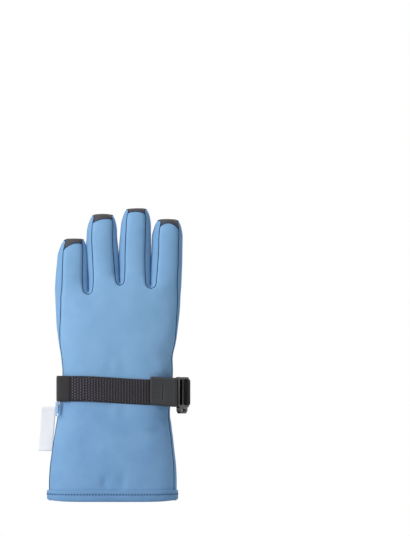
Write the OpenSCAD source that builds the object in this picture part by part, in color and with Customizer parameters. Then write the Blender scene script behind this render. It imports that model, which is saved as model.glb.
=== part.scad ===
// Insulated ski glove, left hand: soft-shell back, synthetic leather palm,
// flared gauntlet, wrist strap with ladder-lock buckle and moulded pull tab.
// It stands on its hem, fingers up (+Z), back of the hand towards -Y,
// thumb side towards +X.

/* [Gauntlet] */
// Width of the gauntlet at its lower edge
cuff_w = 128; // [118:1:150]
// Depth of the gauntlet at its lower edge, back to palm
cuff_d = 53; // [46:1:60]
// Height at which the gauntlet starts to draw in to the wrist
gauntlet_h = 90; // [74:1:108]
// Depth of the gauntlet at that height
gauntlet_top_d = 41; // [38:1:46]
// Height over which the gauntlet draws in below the strap
neck_h = 10.5; // [8:0.5:14]
// Height of the hem binding
hem_h = 12; // [8:0.5:16]
// Thickness of the hem binding, each leg and its floor
hem_t = 1.5; // [1:0.1:2]

/* [Wrist] */
// Width of the wrist
wrist_w = 112; // [98:1:116]
// Depth of the wrist, back to palm
wrist_d = 34; // [30:0.5:38]
// Offset of the wrist towards the thumb side
wrist_shift = 3; // [0:0.5:6]
// Thickness of the wrist elastic
elastic_t = 1.2; // [0.8:0.1:1.6]

/* [Hand] */
// Height of the hand, from above the strap to the crotch of the little finger
palm_h = 81; // [68:1:97]
// How much deeper the hand is than its deepest finger
hand_over = 5; // [3:0.5:8]
// How far the hand stands out past the little finger
little_ease = 1.5; // [0.5:0.1:3]
// How far the hand stands out past the index finger
index_ease = 0.2; // [0.1:0.1:2]
// Rise of the crotch between ring and middle fingers
crotch_rise_ring = 9; // [4:0.5:12]
// Rise of the crotch between middle and index fingers
crotch_rise_middle = 6; // [2:0.5:10]
// Offset of the four fingers towards the thumb side
finger_shift = 6.2; // [2:0.1:9]
// Width of the palm reinforcement
patch_w = 46; // [36:1:54]
// Thickness of the palm reinforcement
patch_t = 0.8; // [0.5:0.1:1.2]

/* [Fingers] */
// Width of the little finger
little_w = 31; // [29:0.2:37]
// Width of the ring finger
ring_w = 29.2; // [29:0.2:35]
// Width of the middle finger
middle_w = 30; // [29:0.2:36]
// Width of the index finger
index_w = 30.4; // [29:0.2:36]
// Depth of the little finger
little_d = 25; // [21:0.2:26]
// Depth of the other three fingers
finger_d = 26; // [22:0.2:26]
// Length of the little finger above its knuckle line
little_len = 53.5; // [44:0.5:64]
// Length of the ring finger above its knuckle line
ring_len = 68.5; // [57:0.5:82]
// Length of the middle finger above its knuckle line
middle_len = 74.5; // [62:0.5:89]
// Length of the index finger above its knuckle line
index_len = 66.5; // [55:0.5:80]
// Gap between neighbouring fingers
finger_gap = 1; // [0.6:0.1:2]
// Height of a finger's tapered end
tip_h = 9; // [6:0.5:12]
// How far a finger's end tapers in all round
tip_in = 6; // [3:0.5:7]
// Height of the tip cap
cap_h = 7; // [4:0.5:12]

/* [Thumb] */
// Distance of the thumb's root from the middle of the cuff
thumb_x = 32; // [24:1:36]
// Height of the thumb's root above the strap
thumb_root_h = 31; // [24:1:36]
// Radius of the thumb's root
thumb_root_r = 17; // [15:0.5:18]
// Diameter of the thumb
thumb_d = 27; // [24:0.5:30]
// Length of the thumb, from the middle of its root to its tip
thumb_len = 53; // [44:1:56]
// Height of the thumb's gusset above the palm
gusset_h = 7; // [5:0.5:10]
// Radius of the way from the hand into the thumb
thumb_way_r = 12; // [10:0.5:12.4]

/* [Layers] */
// Thickness of the outer shell
shell_t = 1.2; // [0.8:0.1:1.6]
// Thickness of the insulation with its waterproof insert
pad_t = 3; // [2:0.1:3.6]
// Thickness of the lining
lining_t = 0.8; // [0.5:0.1:1.2]
// Clearance between layers
layer_gap = 0.1; // [0.05:0.05:0.2]
// Clearance between pieces that move against each other
joint_gap = 0.3; // [0.2:0.05:0.6]
// Distance of the side seams from the middle plane at the cuff
seam_cuff = 14; // [10:0.5:18]
// Distance of the side seams from the middle plane on the hand
seam_hand = 11; // [9:0.5:12.5]
// Distance of the side seams from the middle plane on the fingers
seam_finger = 9; // [7:0.5:9.5]

/* [Strap and buckle] */
// Width of the webbing
strap_w = 25.5; // [20:0.5:30]
// Thickness of the webbing
strap_t = 1.8; // [1.2:0.1:2.2]
// Drop of the strap towards the buckle
strap_drop = 3.5; // [0:0.5:5]
// Clearance under the strap
strap_gap = 0.15; // [0.1:0.05:0.3]
// Length of the buckle along the strap
buckle_l = 21; // [20:0.5:24]
// Thickness of the buckle
buckle_t = 4.6; // [3.6:0.2:5.4]
// Width of the buckle's side rails
rail_w = 2.25; // [1.8:0.05:3]
// Radius of the buckle's anchor bar
bar_r = 1.9; // [1.5:0.1:2.2]
// Slope of the buckle's face, from the side of the wrist
buckle_angle = 57.4; // [50:0.2:64]
// Length of the pull tab
tab_l = 27; // [22:0.5:32]
// Height of the pull tab at its free end
tab_w = 28; // [26.5:0.5:32]
// Thickness of the pull tab
tab_t = 3.1; // [2.6:0.1:4]
// Width of the strap keeper
keeper_w = 10; // [6:0.5:14]

/* [Label and loop] */
// Height of the care label
label_h = 44; // [34:1:52]
// Width of the care label at its top
label_w = 9; // [6:0.5:14]
// Thickness of the care label
label_t = 0.5; // [0.4:0.1:1]
// Width of the pairing loop
loop_w = 5; // [4:0.5:7]
// Length of the pairing loop
loop_l = 11; // [8:0.5:14]
// Thickness of the pairing loop
loop_t = 1.2; // [0.8:0.1:1.6]

/* [Hidden] */
$fn = 72;

shell_blue = "#82acd2";
side_blue = "#6b96c0";
leather = "#47444a";
black = "#1f2025";
webbing = "#39363d";
rubber = "#34353b";
foam = "#d9dce0";
fleece = "#2c2f38";
satin = "#dfe0e3";

// the flats of an oval lie this much inside its rounded edges
flat_in = 0.05;
// ease between two sections that meet at a height
step_in = 0.3;

// inner faces of the layers, as insets from the outer surface
pad_out = shell_t + layer_gap;
pad_in = pad_out + pad_t;
lining_out = pad_in + layer_gap;
lining_in = lining_out + lining_t;

// wrist, as the two centre lines and the radius of a flat-sided oval
wr = wrist_d / 2;
wxl = wrist_shift - wrist_w / 2 + wr;
wxr = wrist_shift + wrist_w / 2 - wr;
strap_z = gauntlet_h + neck_h;
wrist_top = strap_z + strap_w + 1;
join_z = strap_z + strap_w / 2;

// gauntlet
cr = cuff_d / 2;
gr = gauntlet_top_d / 2;
cuff_a = [cr - cuff_w / 2, cuff_w / 2 - cr, cr, 0];
cuff_b = [wxl, wxr, gr, gauntlet_h];
neck_a = [wxl, wxr, gr - step_in, gauntlet_h];
neck_z = strap_z - strap_drop;
cuff_c = [wxl, wxr, wr, neck_z];
// side slope of the gauntlet, where the label is sewn
label_slope = ((cuff_b[0] - cuff_b[2]) - (cuff_a[0] - cuff_a[2])) / gauntlet_h;

// fingers, little to index
fw = [little_w, ring_w, middle_w, index_w];
fd = [little_d, finger_d, finger_d, finger_d];
flen = [little_len, ring_len, middle_len, index_len];
fx0 = finger_shift - (fw[0] + fw[1] + fw[2] + fw[3] + 3 * finger_gap) / 2;
fx = [fx0, fx0 + fw[0] + finger_gap, fx0 + fw[0] + fw[1] + 2 * finger_gap,
    fx0 + fw[0] + fw[1] + fw[2] + 3 * finger_gap];
fend = fx[3] + fw[3];
fmid = [for (i = [0:3]) fx[i] + fw[i] / 2];
gapx = [for (i = [1:3]) fx[i] - finger_gap / 2];
crotch = [wrist_top + palm_h, wrist_top + palm_h + crotch_rise_ring,
    wrist_top + palm_h + crotch_rise_middle];
zk = [crotch[0] + 2, max(crotch[0], crotch[1]) + 2, max(crotch[1], crotch[2]) + 2, crotch[2] + 2];
tipz = [for (i = [0:3]) zk[i] + flen[i]];
// height at which the finger tubes start inside the hand
col_z = crotch[0] - 11;
hr = (max(little_d, finger_d) + hand_over) / 2;
hand_a = [wxl, wxr, wr + step_in, wrist_top];
hand_b = [fx0 - little_ease + hr, fend + index_ease - hr, hr, col_z];

// thumb
tz = wrist_top + thumb_root_h;
ty = wr + gusset_h;
tr = thumb_d / 2;
// the thumb's root is this much deeper than its tube, on both sides
root_over = 0.4;

// strap and buckle
r1 = wr + strap_gap;
r2 = r1 + strap_t;
zc = strap_z + strap_w / 2 - strap_drop;
front_x = wxr + 21;
front_y = -(wr + 0.2);
ua = [cos(buckle_angle), sin(buckle_angle)];
bar_u = buckle_l - bar_r - 0.1;
bar_x = front_x + ua[0] * bar_u;
bar_y = front_y + ua[1] * bar_u;
slot = strap_w + 1;
buckle_w = slot + 2 * rail_w;
tab_x1 = front_x + 1.5;
tab_y1 = -(r2 + 0.35);
label_x = cuff_b[0] - cuff_b[2];
label_z1 = gauntlet_h + 5;

// the origin lies under the middle of the glove's box
min_x = label_x - label_slope * label_h - label_w - 3.4;
max_x = bar_x + ua[0] * (bar_r + 0.1) + sin(buckle_angle) * (buckle_t - 1);
max_y = ty + thumb_d + 2 * root_over;
off_x = -(min_x + max_x) / 2;
off_y = -(max_y - cr - hem_t) / 2;

module place() { translate([off_x, off_y, 0]) children(); }

// a shape drawn in X and Z, run along Y
module along_y(y0, y1) { translate([0, y1, 0]) rotate([90, 0, 0]) linear_extrude(y1 - y0) children(); }
// a shape drawn in Y and Z, run along X
module along_x(x0, x1) { translate([x0, 0, 0]) rotate([90, 0, 90]) linear_extrude(x1 - x0) children(); }

module oval(xl, xr, r) {
    translate([xl, 0]) circle(r);
    translate([xr, 0]) circle(r);
    translate([xl, flat_in - r]) square([xr - xl, 2 * (r - flat_in)]);
}
module tube(s, t, z0, z1) { translate([0, 0, z0]) linear_extrude(z1 - z0) oval(s[0], s[1], s[2] - t); }

// one rounded edge of a tapering oval
module lean_cone(x0, z0, q0, x1, z1, q1) {
    len = sqrt((x1 - x0) * (x1 - x0) + (z1 - z0) * (z1 - z0));
    e = x0 == x1 ? 0 : 4;
    k = (q1 - q0) / len;
    translate([x0, 0, z0]) rotate([0, atan2(x1 - x0, z1 - z0), 0]) translate([0, 0, -e])
        cylinder(h = len + 2 * e, r1 = q0 - k * e, r2 = q1 + k * e);
}
// a tapering oval between two stations [left, right, radius, height], inset by t
module taper(a, b, t) {
    q0 = a[2] - t;
    q1 = b[2] - t;
    w0 = q0 - flat_in;
    w1 = q1 - flat_in;
    intersection() {
        translate([-150, -80, a[3]]) cube([300, 160, b[3] - a[3]]);
        union() {
            lean_cone(a[0], a[3], q0, b[0], b[3], q1);
            lean_cone(a[1], a[3], q0, b[1], b[3], q1);
            intersection() {
                along_y(-80, 80) polygon([[a[0], a[3]], [a[1], a[3]], [b[1], b[3]], [b[0], b[3]]]);
                along_x(-150, 150) polygon([[-w0, a[3]], [w0, a[3]], [w1, b[3]], [-w1, b[3]]]);
            }
        }
    }
}

// the side seams divide every section into back, sides and palm
module palm_zone() {
    along_x(-150, 150) polygon([[seam_cuff, -5], [seam_hand, strap_z], [seam_hand, col_z],
        [seam_finger, col_z + 8], [seam_finger, 400], [120, 400], [120, -5]]);
}
module back_zone() { mirror([0, 1, 0]) palm_zone(); }
module side_zone() {
    along_x(-150, 150) polygon([[seam_cuff, -5], [seam_hand, strap_z], [seam_hand, col_z],
        [seam_finger, col_z + 8], [seam_finger, 400], [-seam_finger, 400],
        [-seam_finger, col_z + 8], [-seam_hand, col_z], [-seam_hand, strap_z], [-seam_cuff, -5]]);
}
module x_range(x0, x1) { translate([x0, -120, -10]) cube([x1 - x0, 240, 420]); }

// ---------------------------------------------------------------- gauntlet
module gauntlet_body(t) {
    difference() {
        union() {
            taper(cuff_a, cuff_b, t);
            taper(neck_a, cuff_c, t);
            tube(cuff_c, t, neck_z, join_z);
        }
        translate([-150, -80, -1]) cube([300, 160, 1 + hem_t + layer_gap]);
    }
}
module gauntlet_shell() { difference() { gauntlet_body(0); gauntlet_body(shell_t); } }

module gauntlet_back() {
    color(shell_blue) place() intersection() { gauntlet_shell(); back_zone(); }
}
module gauntlet_palm() {
    color(leather) place() intersection() { gauntlet_shell(); palm_zone(); }
}
module gauntlet_side_little() {
    color(side_blue) place() intersection() { gauntlet_shell(); side_zone(); x_range(-150, 0); }
}
module gauntlet_side_index() {
    color(black) place() intersection() { gauntlet_shell(); side_zone(); x_range(0, 150); }
}
module elastic_ring(g) {
    z0 = strap_z + 3;
    z1 = strap_z + strap_w - 3;
    difference() {
        tube(cuff_c, pad_out - g, z0 - g, z1 + g);
        tube(cuff_c, pad_out + elastic_t + g, z0 - 1, z1 + 1);
    }
}
module gauntlet_insulation() {
    color(foam) place() difference() {
        gauntlet_body(pad_out);
        gauntlet_body(pad_in);
        elastic_ring(layer_gap);
    }
}
module gauntlet_lining() {
    color(fleece) place() difference() { gauntlet_body(lining_out); gauntlet_body(lining_in); }
}
// folded over the lower edges of the three layers
module hem_binding() {
    top = [cuff_a[0] + (cuff_b[0] - cuff_a[0]) * hem_h / gauntlet_h,
        cuff_a[1] + (cuff_b[1] - cuff_a[1]) * hem_h / gauntlet_h,
        cr + (gr - cr) * hem_h / gauntlet_h, hem_h];
    color(shell_blue) place() difference() {
        taper(cuff_a, top, -hem_t - layer_gap);
        translate([0, 0, hem_t]) taper(cuff_a, top, -layer_gap);
        taper([cuff_a[0], cuff_a[1], cr, 0], top, lining_in + layer_gap + hem_t);
    }
    color(fleece) place() difference() {
        taper(cuff_a, top, lining_in + layer_gap);
        taper(cuff_a, top, lining_in + layer_gap + hem_t);
        translate([-150, -80, -1]) cube([300, 160, 1 + hem_t]);
    }
}
module wrist_elastic() { color(black) place() elastic_ring(0); }

// -------------------------------------------------------------------- hand
module below_crotch(t) {
    along_y(-80, 80) polygon([[-150, 50], [150, 50], [150, crotch[2] - 8 - t], [gapx[2], crotch[2] - t],
        [gapx[1], crotch[1] - t], [gapx[0], crotch[0] - t], [-150, crotch[0] - 8 - t]]);
}
module finger_column(i, t, z0, z1) {
    q = fd[i] / 2;
    translate([0, 0, z0]) linear_extrude(z1 - z0) oval(fx[i] + q, fx[i] + fw[i] - q, q - t);
}
module hand_body(t) {
    tube(cuff_c, t, join_z, wrist_top);
    taper(hand_a, hand_b, t);
    intersection() { tube(hand_b, t - step_in, col_z, crotch[1] + 2); below_crotch(t); }
    for (i = [0:3]) finger_column(i, t, col_z, zk[i]);
}
module thumb_way() {
    translate([thumb_x, 0, tz]) rotate([-90, 0, 0]) cylinder(h = 60, r = thumb_way_r);
}
module hand_layer(t0, t1) {
    difference() { hand_body(t0); hand_body(t1); thumb_way(); }
}
module back_of_hand() {
    color(shell_blue) place() intersection() { hand_layer(0, shell_t); back_zone(); }
}
module palm_panel() {
    color(leather) place() intersection() { hand_layer(0, shell_t); palm_zone(); }
}
module hand_side(x0, x1) {
    intersection() { hand_layer(0, shell_t); side_zone(); x_range(x0, x1); }
}
module side_panel_little() { color(side_blue) place() hand_side(-150, fmid[0]); }
module web_little_ring() { color(side_blue) place() hand_side(fmid[0], fmid[1]); }
module web_ring_middle() { color(side_blue) place() hand_side(fmid[1], fmid[2]); }
module web_middle_index() { color(side_blue) place() hand_side(fmid[2], fmid[3]); }
module side_panel_index() { color(side_blue) place() hand_side(fmid[3], 150); }
module hand_insulation() {
    color(foam) place() difference() { hand_layer(pad_out, pad_in); elastic_ring(layer_gap); }
}
module hand_lining() { color(fleece) place() hand_layer(lining_out, lining_in); }
module palm_patch() {
    x1 = thumb_x - thumb_root_r - 4;
    x0 = x1 - patch_w;
    z0 = wrist_top + 15;
    z1 = col_z - 2;
    color(black) place() intersection() {
        difference() { taper(hand_a, hand_b, -patch_t - layer_gap); taper(hand_a, hand_b, -layer_gap); }
        along_y(2, 40) polygon([[x0 + 8, z0], [x1 - 5, z0], [x1, z0 + 5], [x1, z1 - 8],
            [x1 - 8, z1], [x0 + 5, z1], [x0, z1 - 5], [x0, z0 + 8]]);
    }
}

// ----------------------------------------------------------------- fingers
module finger_body(i, t) {
    q = fd[i] / 2;
    xl = fx[i] + q;
    xr = fx[i] + fw[i] - q;
    finger_column(i, t, zk[i] + joint_gap, tipz[i] - tip_h);
    taper([xl, xr, q, tipz[i] - tip_h], [xl, xr, q - tip_in + 0.4 * t, tipz[i] - t], t);
}
module finger_layer(i, t0, t1) {
    difference() {
        finger_body(i, t0);
        finger_body(i, t1);
        translate([fx[i], -20, zk[i] - 1]) cube([fw[i], 40, 1 + joint_gap]);
    }
}
module over(z) { translate([-150, -60, z]) cube([300, 120, 200]); }
module under(z) { translate([-150, -60, z - 300]) cube([300, 120, 300]); }
module finger_back(i) {
    color(shell_blue) place() intersection() { finger_layer(i, 0, shell_t); back_zone(); under(tipz[i] - cap_h); }
}
module finger_palm(i) {
    color(leather) place() intersection() { finger_layer(i, 0, shell_t); palm_zone(); under(tipz[i] - cap_h); }
}
module finger_sides(i) {
    color(side_blue) place() intersection() { finger_layer(i, 0, shell_t); side_zone(); under(tipz[i] - cap_h); }
}
module finger_cap(i) { color(leather) place() intersection() { finger_layer(i, 0, shell_t); over(tipz[i] - cap_h); } }
module finger_insulation(i) { color(foam) place() finger_layer(i, pad_out, pad_in); }
module finger_lining(i) { color(fleece) place() finger_layer(i, lining_out, lining_in); }

// ------------------------------------------------------------------- thumb
module thumb_body(t) {
    translate([thumb_x, ty, tz]) {
        rotate([-90, 0, 0]) cylinder(h = thumb_d + 2 * root_over - t, r = thumb_root_r - t);
        translate([0, tr + root_over, 0]) {
            cylinder(h = thumb_len - tip_h, r = tr - t);
            translate([0, 0, thumb_len - tip_h]) cylinder(h = tip_h - t, r1 = tr - t, r2 = tr - tip_in - 0.6 * t);
        }
    }
}
module thumb_layer(t0, t1) { difference() { thumb_body(t0); thumb_body(t1); } }
module thumb_side(y0, y1) { translate([-150, y0, 0]) cube([300, y1 - y0, 400]); }
thumb_cap_z = tz + thumb_len - cap_h;
module thumb_back() {
    color(shell_blue) place() intersection() { thumb_layer(0, shell_t); thumb_side(ty + tr, 200); under3(thumb_cap_z); }
}
module thumb_palm() {
    color(leather) place() intersection() { thumb_layer(0, shell_t); thumb_side(0, ty + tr); under3(thumb_cap_z); }
}
module under3(z) { translate([-150, -60, z - 300]) cube([300, 260, 300]); }
module thumb_cap() {
    color(leather) place() intersection() {
        thumb_layer(0, shell_t);
        translate([-150, -60, thumb_cap_z]) cube([300, 260, 100]);
    }
}
module thumb_insulation() { color(foam) place() thumb_layer(pad_out, pad_in); }
module thumb_lining() { color(fleece) place() thumb_layer(lining_out, lining_in); }
// the ring of leather that carries the thumb on the palm
module thumb_gusset() {
    color(leather) place() difference() {
        translate([thumb_x, 4, tz]) rotate([-90, 0, 0]) cylinder(h = ty - joint_gap - 4, r = thumb_root_r);
        translate([thumb_x, 0, tz]) rotate([-90, 0, 0]) cylinder(h = 60, r = thumb_way_r);
        taper(hand_a, hand_b, 0);
    }
}

// --------------------------------------------------------- strap and buckle
module wrist_strap() {
    x1 = front_x - 2;
    d1 = strap_drop;
    color(webbing) place() {
        along_y(-r2, -r1) polygon([[wxl, strap_z], [x1, strap_z - d1], [x1, strap_z + strap_w - d1],
            [wxl, strap_z + strap_w]]);
        translate([0, 0, strap_z]) linear_extrude(strap_w) {
            intersection() {
                translate([wxl, 0]) difference() { circle(r2); circle(r1); }
                translate([wxl - r2 - 1, -r2 - 1]) square([r2 + 1, 2 * r2 + 2]);
            }
            translate([wxl, r1]) square([thumb_x - 18 - wxl, strap_t]);
        }
    }
}
module strap_keeper() {
    g = 0.1;
    k = 0.8;
    color(black) place() translate([0, 0, strap_z - g]) linear_extrude(strap_w + 2 * g)
        intersection() {
            translate([wxl, 0]) difference() { circle(r2 + g + k); circle(r2 + g); }
            translate([wxl - r2 - 2, -r2 - 2]) square([keeper_w, r2 + 2]);
        }
}
module anchor_loop() {
    rm = r1 + strap_t / 2;
    dx = bar_x - wxr;
    d = sqrt(dx * dx + bar_y * bar_y);
    phi = atan2(bar_y, dx) + acos(rm / d);
    px = wxr + rm * cos(phi);
    py = rm * sin(phi);
    run = sqrt((bar_x - px) * (bar_x - px) + (bar_y - py) * (bar_y - py));
    color(webbing) place() translate([0, 0, zc - strap_w / 2]) linear_extrude(strap_w) {
        translate([thumb_x - 12, r1]) square([wxr - thumb_x + 12, strap_t]);
        intersection() {
            translate([wxr, 0]) difference() { circle(r2); circle(r1); }
            polygon([[wxr, 0], [wxr, 60], [wxr + 60 * cos(phi) / sin(phi), 60]]);
        }
        difference() {
            union() {
                translate([px, py]) rotate(atan2(bar_y - py, bar_x - px))
                    translate([0, -strap_t / 2]) square([run, strap_t]);
                translate([bar_x, bar_y]) circle(bar_r + joint_gap + strap_t);
            }
            translate([bar_x, bar_y]) circle(bar_r + joint_gap);
        }
    }
}
// buckle frame: its own X along the strap, -Y outwards
module on_buckle() { place() translate([front_x, front_y, zc]) rotate([0, 0, buckle_angle]) children(); }
module plate(x0, x1, y0, y1, z0, z1) { translate([x0, y0, z0]) cube([x1 - x0, y1 - y0, z1 - z0]); }
module buckle_frame() {
    h = buckle_w / 2;
    c = 4;
    out = buckle_t - 1;
    color(black) on_buckle() {
        difference() {
            along_y(-out, 1) difference() {
                union() {
                    translate([c, -h]) square([buckle_l - 2 * c, 2 * h]);
                    translate([0, c - h]) square([buckle_l, 2 * (h - c)]);
                    for (x = [c, buckle_l - c], z = [c - h, h - c]) translate([x, z]) circle(c);
                }
                translate([3, -slot / 2]) square([5.2, slot]);
                translate([10.6, -slot / 2]) square([buckle_l, slot]);
            }
            // the middle bar lies lower, so the webbing passes over it
            plate(8, 10.8, -out - 1, -out + 1.2, -slot / 2, slot / 2);
        }
        translate([bar_u, 0, -h + 1]) cylinder(h = 2 * h - 2, r = bar_r);
        // grip ridges on the front bar
        for (x = [0.8, 2.1]) translate([x, -out, -slot / 2]) cylinder(h = slot, r = 0.5);
    }
}
module pairing_hook() {
    h = buckle_w / 2;
    color(black) on_buckle() difference() {
        along_y(-buckle_t + 1.6, 0.4) polygon([[3, -h + 0.05], [16, -h + 0.05], [16, -h - 3.5], [13.5, -h - 6],
            [5.5, -h - 6], [3, -h - 3.5]]);
        along_y(-buckle_t, 2) polygon([[6, -h - 1.2], [13, -h - 1.2], [13, -h - 3], [11.8, -h - 4.2],
            [7.2, -h - 4.2], [6, -h - 3]]);
        plate(-1, buckle_l + 1, -buckle_t, 3, -h, h);
    }
}
module strap_bight() {
    h = strap_w / 2;
    out = buckle_t - 1;
    color(webbing) on_buckle() {
        plate(1, 12.7, 1.3, 1.3 + strap_t, -h, h);
        plate(10.9, 12.7, -out - 0.5, 1.3, -h, h);
        plate(6.1, 12.7, -out + 1.2 - 0.3 - strap_t, -out + 1.2 - 0.3, -h, h);
    }
}
module strap_tail() {
    z0 = zc - strap_w / 2;
    color(webbing) place() translate([tab_x1 - tab_l + 10, tab_y1 - 1.5, z0])
        cube([tab_l - 10.4, 1.4, strap_w]);
}
module pull_tab() {
    x1 = tab_x1;
    x0 = x1 - tab_l;
    h0 = tab_w / 2;
    h1 = h0 + 1;
    c = 4;
    zt = zc + strap_drop / 2 - 0.3;
    color(rubber) place() difference() {
        along_y(tab_y1 - tab_t, tab_y1) union() {
            polygon([[x0 + c, zt - h0], [x1, zc - h1], [x1, zc + h1], [x0 + c, zt + h0]]);
            translate([x0 + c, zt - h0 + c]) circle(c);
            translate([x0 + c, zt + h0 - c]) circle(c);
            translate([x0, zt - h0 + c]) square([c + 1, 2 * (h0 - c)]);
        }
        // pocket in which the webbing's end is moulded
        translate([x1 - tab_l + 9.9, tab_y1 - 1.6, zc - strap_w / 2 - 0.1]) cube([tab_l, 3, strap_w + 0.2]);
        // groove near the middle
        translate([x0 + 12.5, tab_y1 - tab_t - 1, zc - 8]) cube([1.4, 1.8, 16]);
    }
}

// ---------------------------------------------------------- label and loop
// x of the label seam at height z
function seam_x(z) = label_x - label_slope * (gauntlet_h - z) - joint_gap - label_t / 2;
module care_label() {
    z1 = label_z1;
    z0 = z1 - label_h;
    color(satin) place() along_y(-label_t / 2, label_t / 2) polygon([[seam_x(z1), z1],
        [seam_x(z1) - label_w, z1 + 0.5], [seam_x(z0) - label_w - 2.5, z0 + 3],
        [seam_x(z0) - label_w - 1.5, z0], [seam_x(z0), z0]]);
}
module on_loop() {
    place() translate([cuff_b[0], 0, strap_z]) rotate([0, 0, 210]) translate([gr + 1.2, 0, 0]) children();
}
module pairing_loop() {
    color(shell_blue) on_loop() translate([0, -loop_w / 2, -loop_l - 0.3]) cube([loop_t, loop_w, loop_l]);
}
module pairing_clip() {
    color(black) on_loop() difference() {
        translate([-0.4, -loop_w / 2 - 0.4, -loop_l - 4.3]) cube([loop_t + 0.8, loop_w + 0.8, 5]);
        translate([0, -loop_w / 2, -loop_l - 0.3]) cube([loop_t, loop_w, 5]);
    }
}

back_of_hand();
palm_panel();
side_panel_little();
side_panel_index();
web_little_ring();
web_ring_middle();
web_middle_index();
palm_patch();
thumb_gusset();
hand_insulation();
hand_lining();
gauntlet_back();
gauntlet_palm();
gauntlet_side_little();
gauntlet_side_index();
gauntlet_insulation();
gauntlet_lining();
hem_binding();
wrist_elastic();
wrist_strap();
strap_keeper();
anchor_loop();
buckle_frame();
pairing_hook();
strap_bight();
strap_tail();
pull_tab();
care_label();
pairing_loop();
pairing_clip();
finger_back(0);  // little_back
finger_palm(0);  // little_palm
finger_sides(0);  // little_sides
finger_cap(0);  // little_cap
finger_insulation(0);  // little_insulation
finger_lining(0);  // little_lining
finger_back(1);  // ring_back
finger_palm(1);  // ring_palm
finger_sides(1);  // ring_sides
finger_cap(1);  // ring_cap
finger_insulation(1);  // ring_insulation
finger_lining(1);  // ring_lining
finger_back(2);  // middle_back
finger_palm(2);  // middle_palm
finger_sides(2);  // middle_sides
finger_cap(2);  // middle_cap
finger_insulation(2);  // middle_insulation
finger_lining(2);  // middle_lining
finger_back(3);  // index_back
finger_palm(3);  // index_palm
finger_sides(3);  // index_sides
finger_cap(3);  // index_cap
finger_insulation(3);  // index_insulation
finger_lining(3);  // index_lining
thumb_back();
thumb_palm();
thumb_cap();
thumb_insulation();
thumb_lining();
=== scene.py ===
import bisect
import math

import bmesh
import bpy
import numpy as np
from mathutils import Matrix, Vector, noise


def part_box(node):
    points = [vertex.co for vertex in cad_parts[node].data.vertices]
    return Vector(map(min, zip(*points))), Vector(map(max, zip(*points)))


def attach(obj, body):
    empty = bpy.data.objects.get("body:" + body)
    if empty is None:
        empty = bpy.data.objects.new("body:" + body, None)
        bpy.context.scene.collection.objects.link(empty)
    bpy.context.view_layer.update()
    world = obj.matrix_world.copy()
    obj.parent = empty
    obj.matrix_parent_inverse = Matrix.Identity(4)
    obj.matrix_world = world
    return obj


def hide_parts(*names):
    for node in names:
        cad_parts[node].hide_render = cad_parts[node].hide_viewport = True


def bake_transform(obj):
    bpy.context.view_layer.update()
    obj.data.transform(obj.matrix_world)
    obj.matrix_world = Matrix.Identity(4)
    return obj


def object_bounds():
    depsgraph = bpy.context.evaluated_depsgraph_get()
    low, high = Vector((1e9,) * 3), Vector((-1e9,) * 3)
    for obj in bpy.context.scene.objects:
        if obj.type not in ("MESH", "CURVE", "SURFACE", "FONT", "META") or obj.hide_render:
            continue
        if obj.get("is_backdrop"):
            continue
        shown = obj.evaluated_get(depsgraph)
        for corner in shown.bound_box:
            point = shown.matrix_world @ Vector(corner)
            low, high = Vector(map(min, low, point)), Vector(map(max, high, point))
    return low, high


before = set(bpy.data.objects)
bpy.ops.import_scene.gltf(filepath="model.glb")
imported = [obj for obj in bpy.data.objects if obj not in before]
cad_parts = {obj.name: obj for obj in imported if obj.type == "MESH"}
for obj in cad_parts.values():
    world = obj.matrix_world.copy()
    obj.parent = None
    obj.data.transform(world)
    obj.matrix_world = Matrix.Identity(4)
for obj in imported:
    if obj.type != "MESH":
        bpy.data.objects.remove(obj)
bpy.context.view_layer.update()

bpy.ops.object.select_all(action="DESELECT")

# ------------------------------------------------------------------- the shell
# The cover of gauntlet, hand and fingers: soft-shell cloth and leather panels sewn
# edge to edge. It is shaped here as one skin, so that the panels cut from it meet
# in their seams.

# Sizes are in millimetres about the middle of the cuff's mouth: x to the
# forefinger's side, y to the palm, z up to the fingertips.
MM = 0.001
hem_lo, hem_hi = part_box("hem_binding")
OX, OY = (hem_lo.x + hem_hi.x) / 2, (hem_lo.y + hem_hi.y) / 2


def frame_point(p):
    return (OX + p[0] * MM, OY + p[1] * MM, p[2] * MM)


def node_box(name):
    """A CAD node's lowest and highest corners, in this file's millimetres."""
    lo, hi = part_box(name)
    return tuple(((v.x - OX) / MM, (v.y - OY) / MM, v.z / MM) for v in (lo, hi))


def mix(a, b, t):
    return a + (b - a) * t


def smooth(t):
    t = min(max(t, 0.0), 1.0)
    return t * t * (3 - 2 * t)


def curve(v, points):
    """A smooth line through (position, value) points, without overshoot."""
    xs = [p[0] for p in points]
    ys = [p[1] for p in points]
    if v <= xs[0]:
        return ys[0]
    if v >= xs[-1]:
        return ys[-1]
    k = bisect.bisect_right(xs, v) - 1
    rise = [(ys[i + 1] - ys[i]) / (xs[i + 1] - xs[i]) for i in range(len(xs) - 1)]

    def tangent(i):
        if i == 0 or i == len(xs) - 1 or rise[i - 1] * rise[i] <= 0:
            return 0.0
        return 2 * rise[i - 1] * rise[i] / (rise[i - 1] + rise[i])

    h = xs[k + 1] - xs[k]
    t = (v - xs[k]) / h
    return (
        ys[k] * (1 + 2 * t) * (1 - t) ** 2
        + tangent(k) * h * t * (1 - t) ** 2
        + ys[k + 1] * t * t * (3 - 2 * t)
        + tangent(k + 1) * h * t * t * (t - 1)
    )


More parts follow.
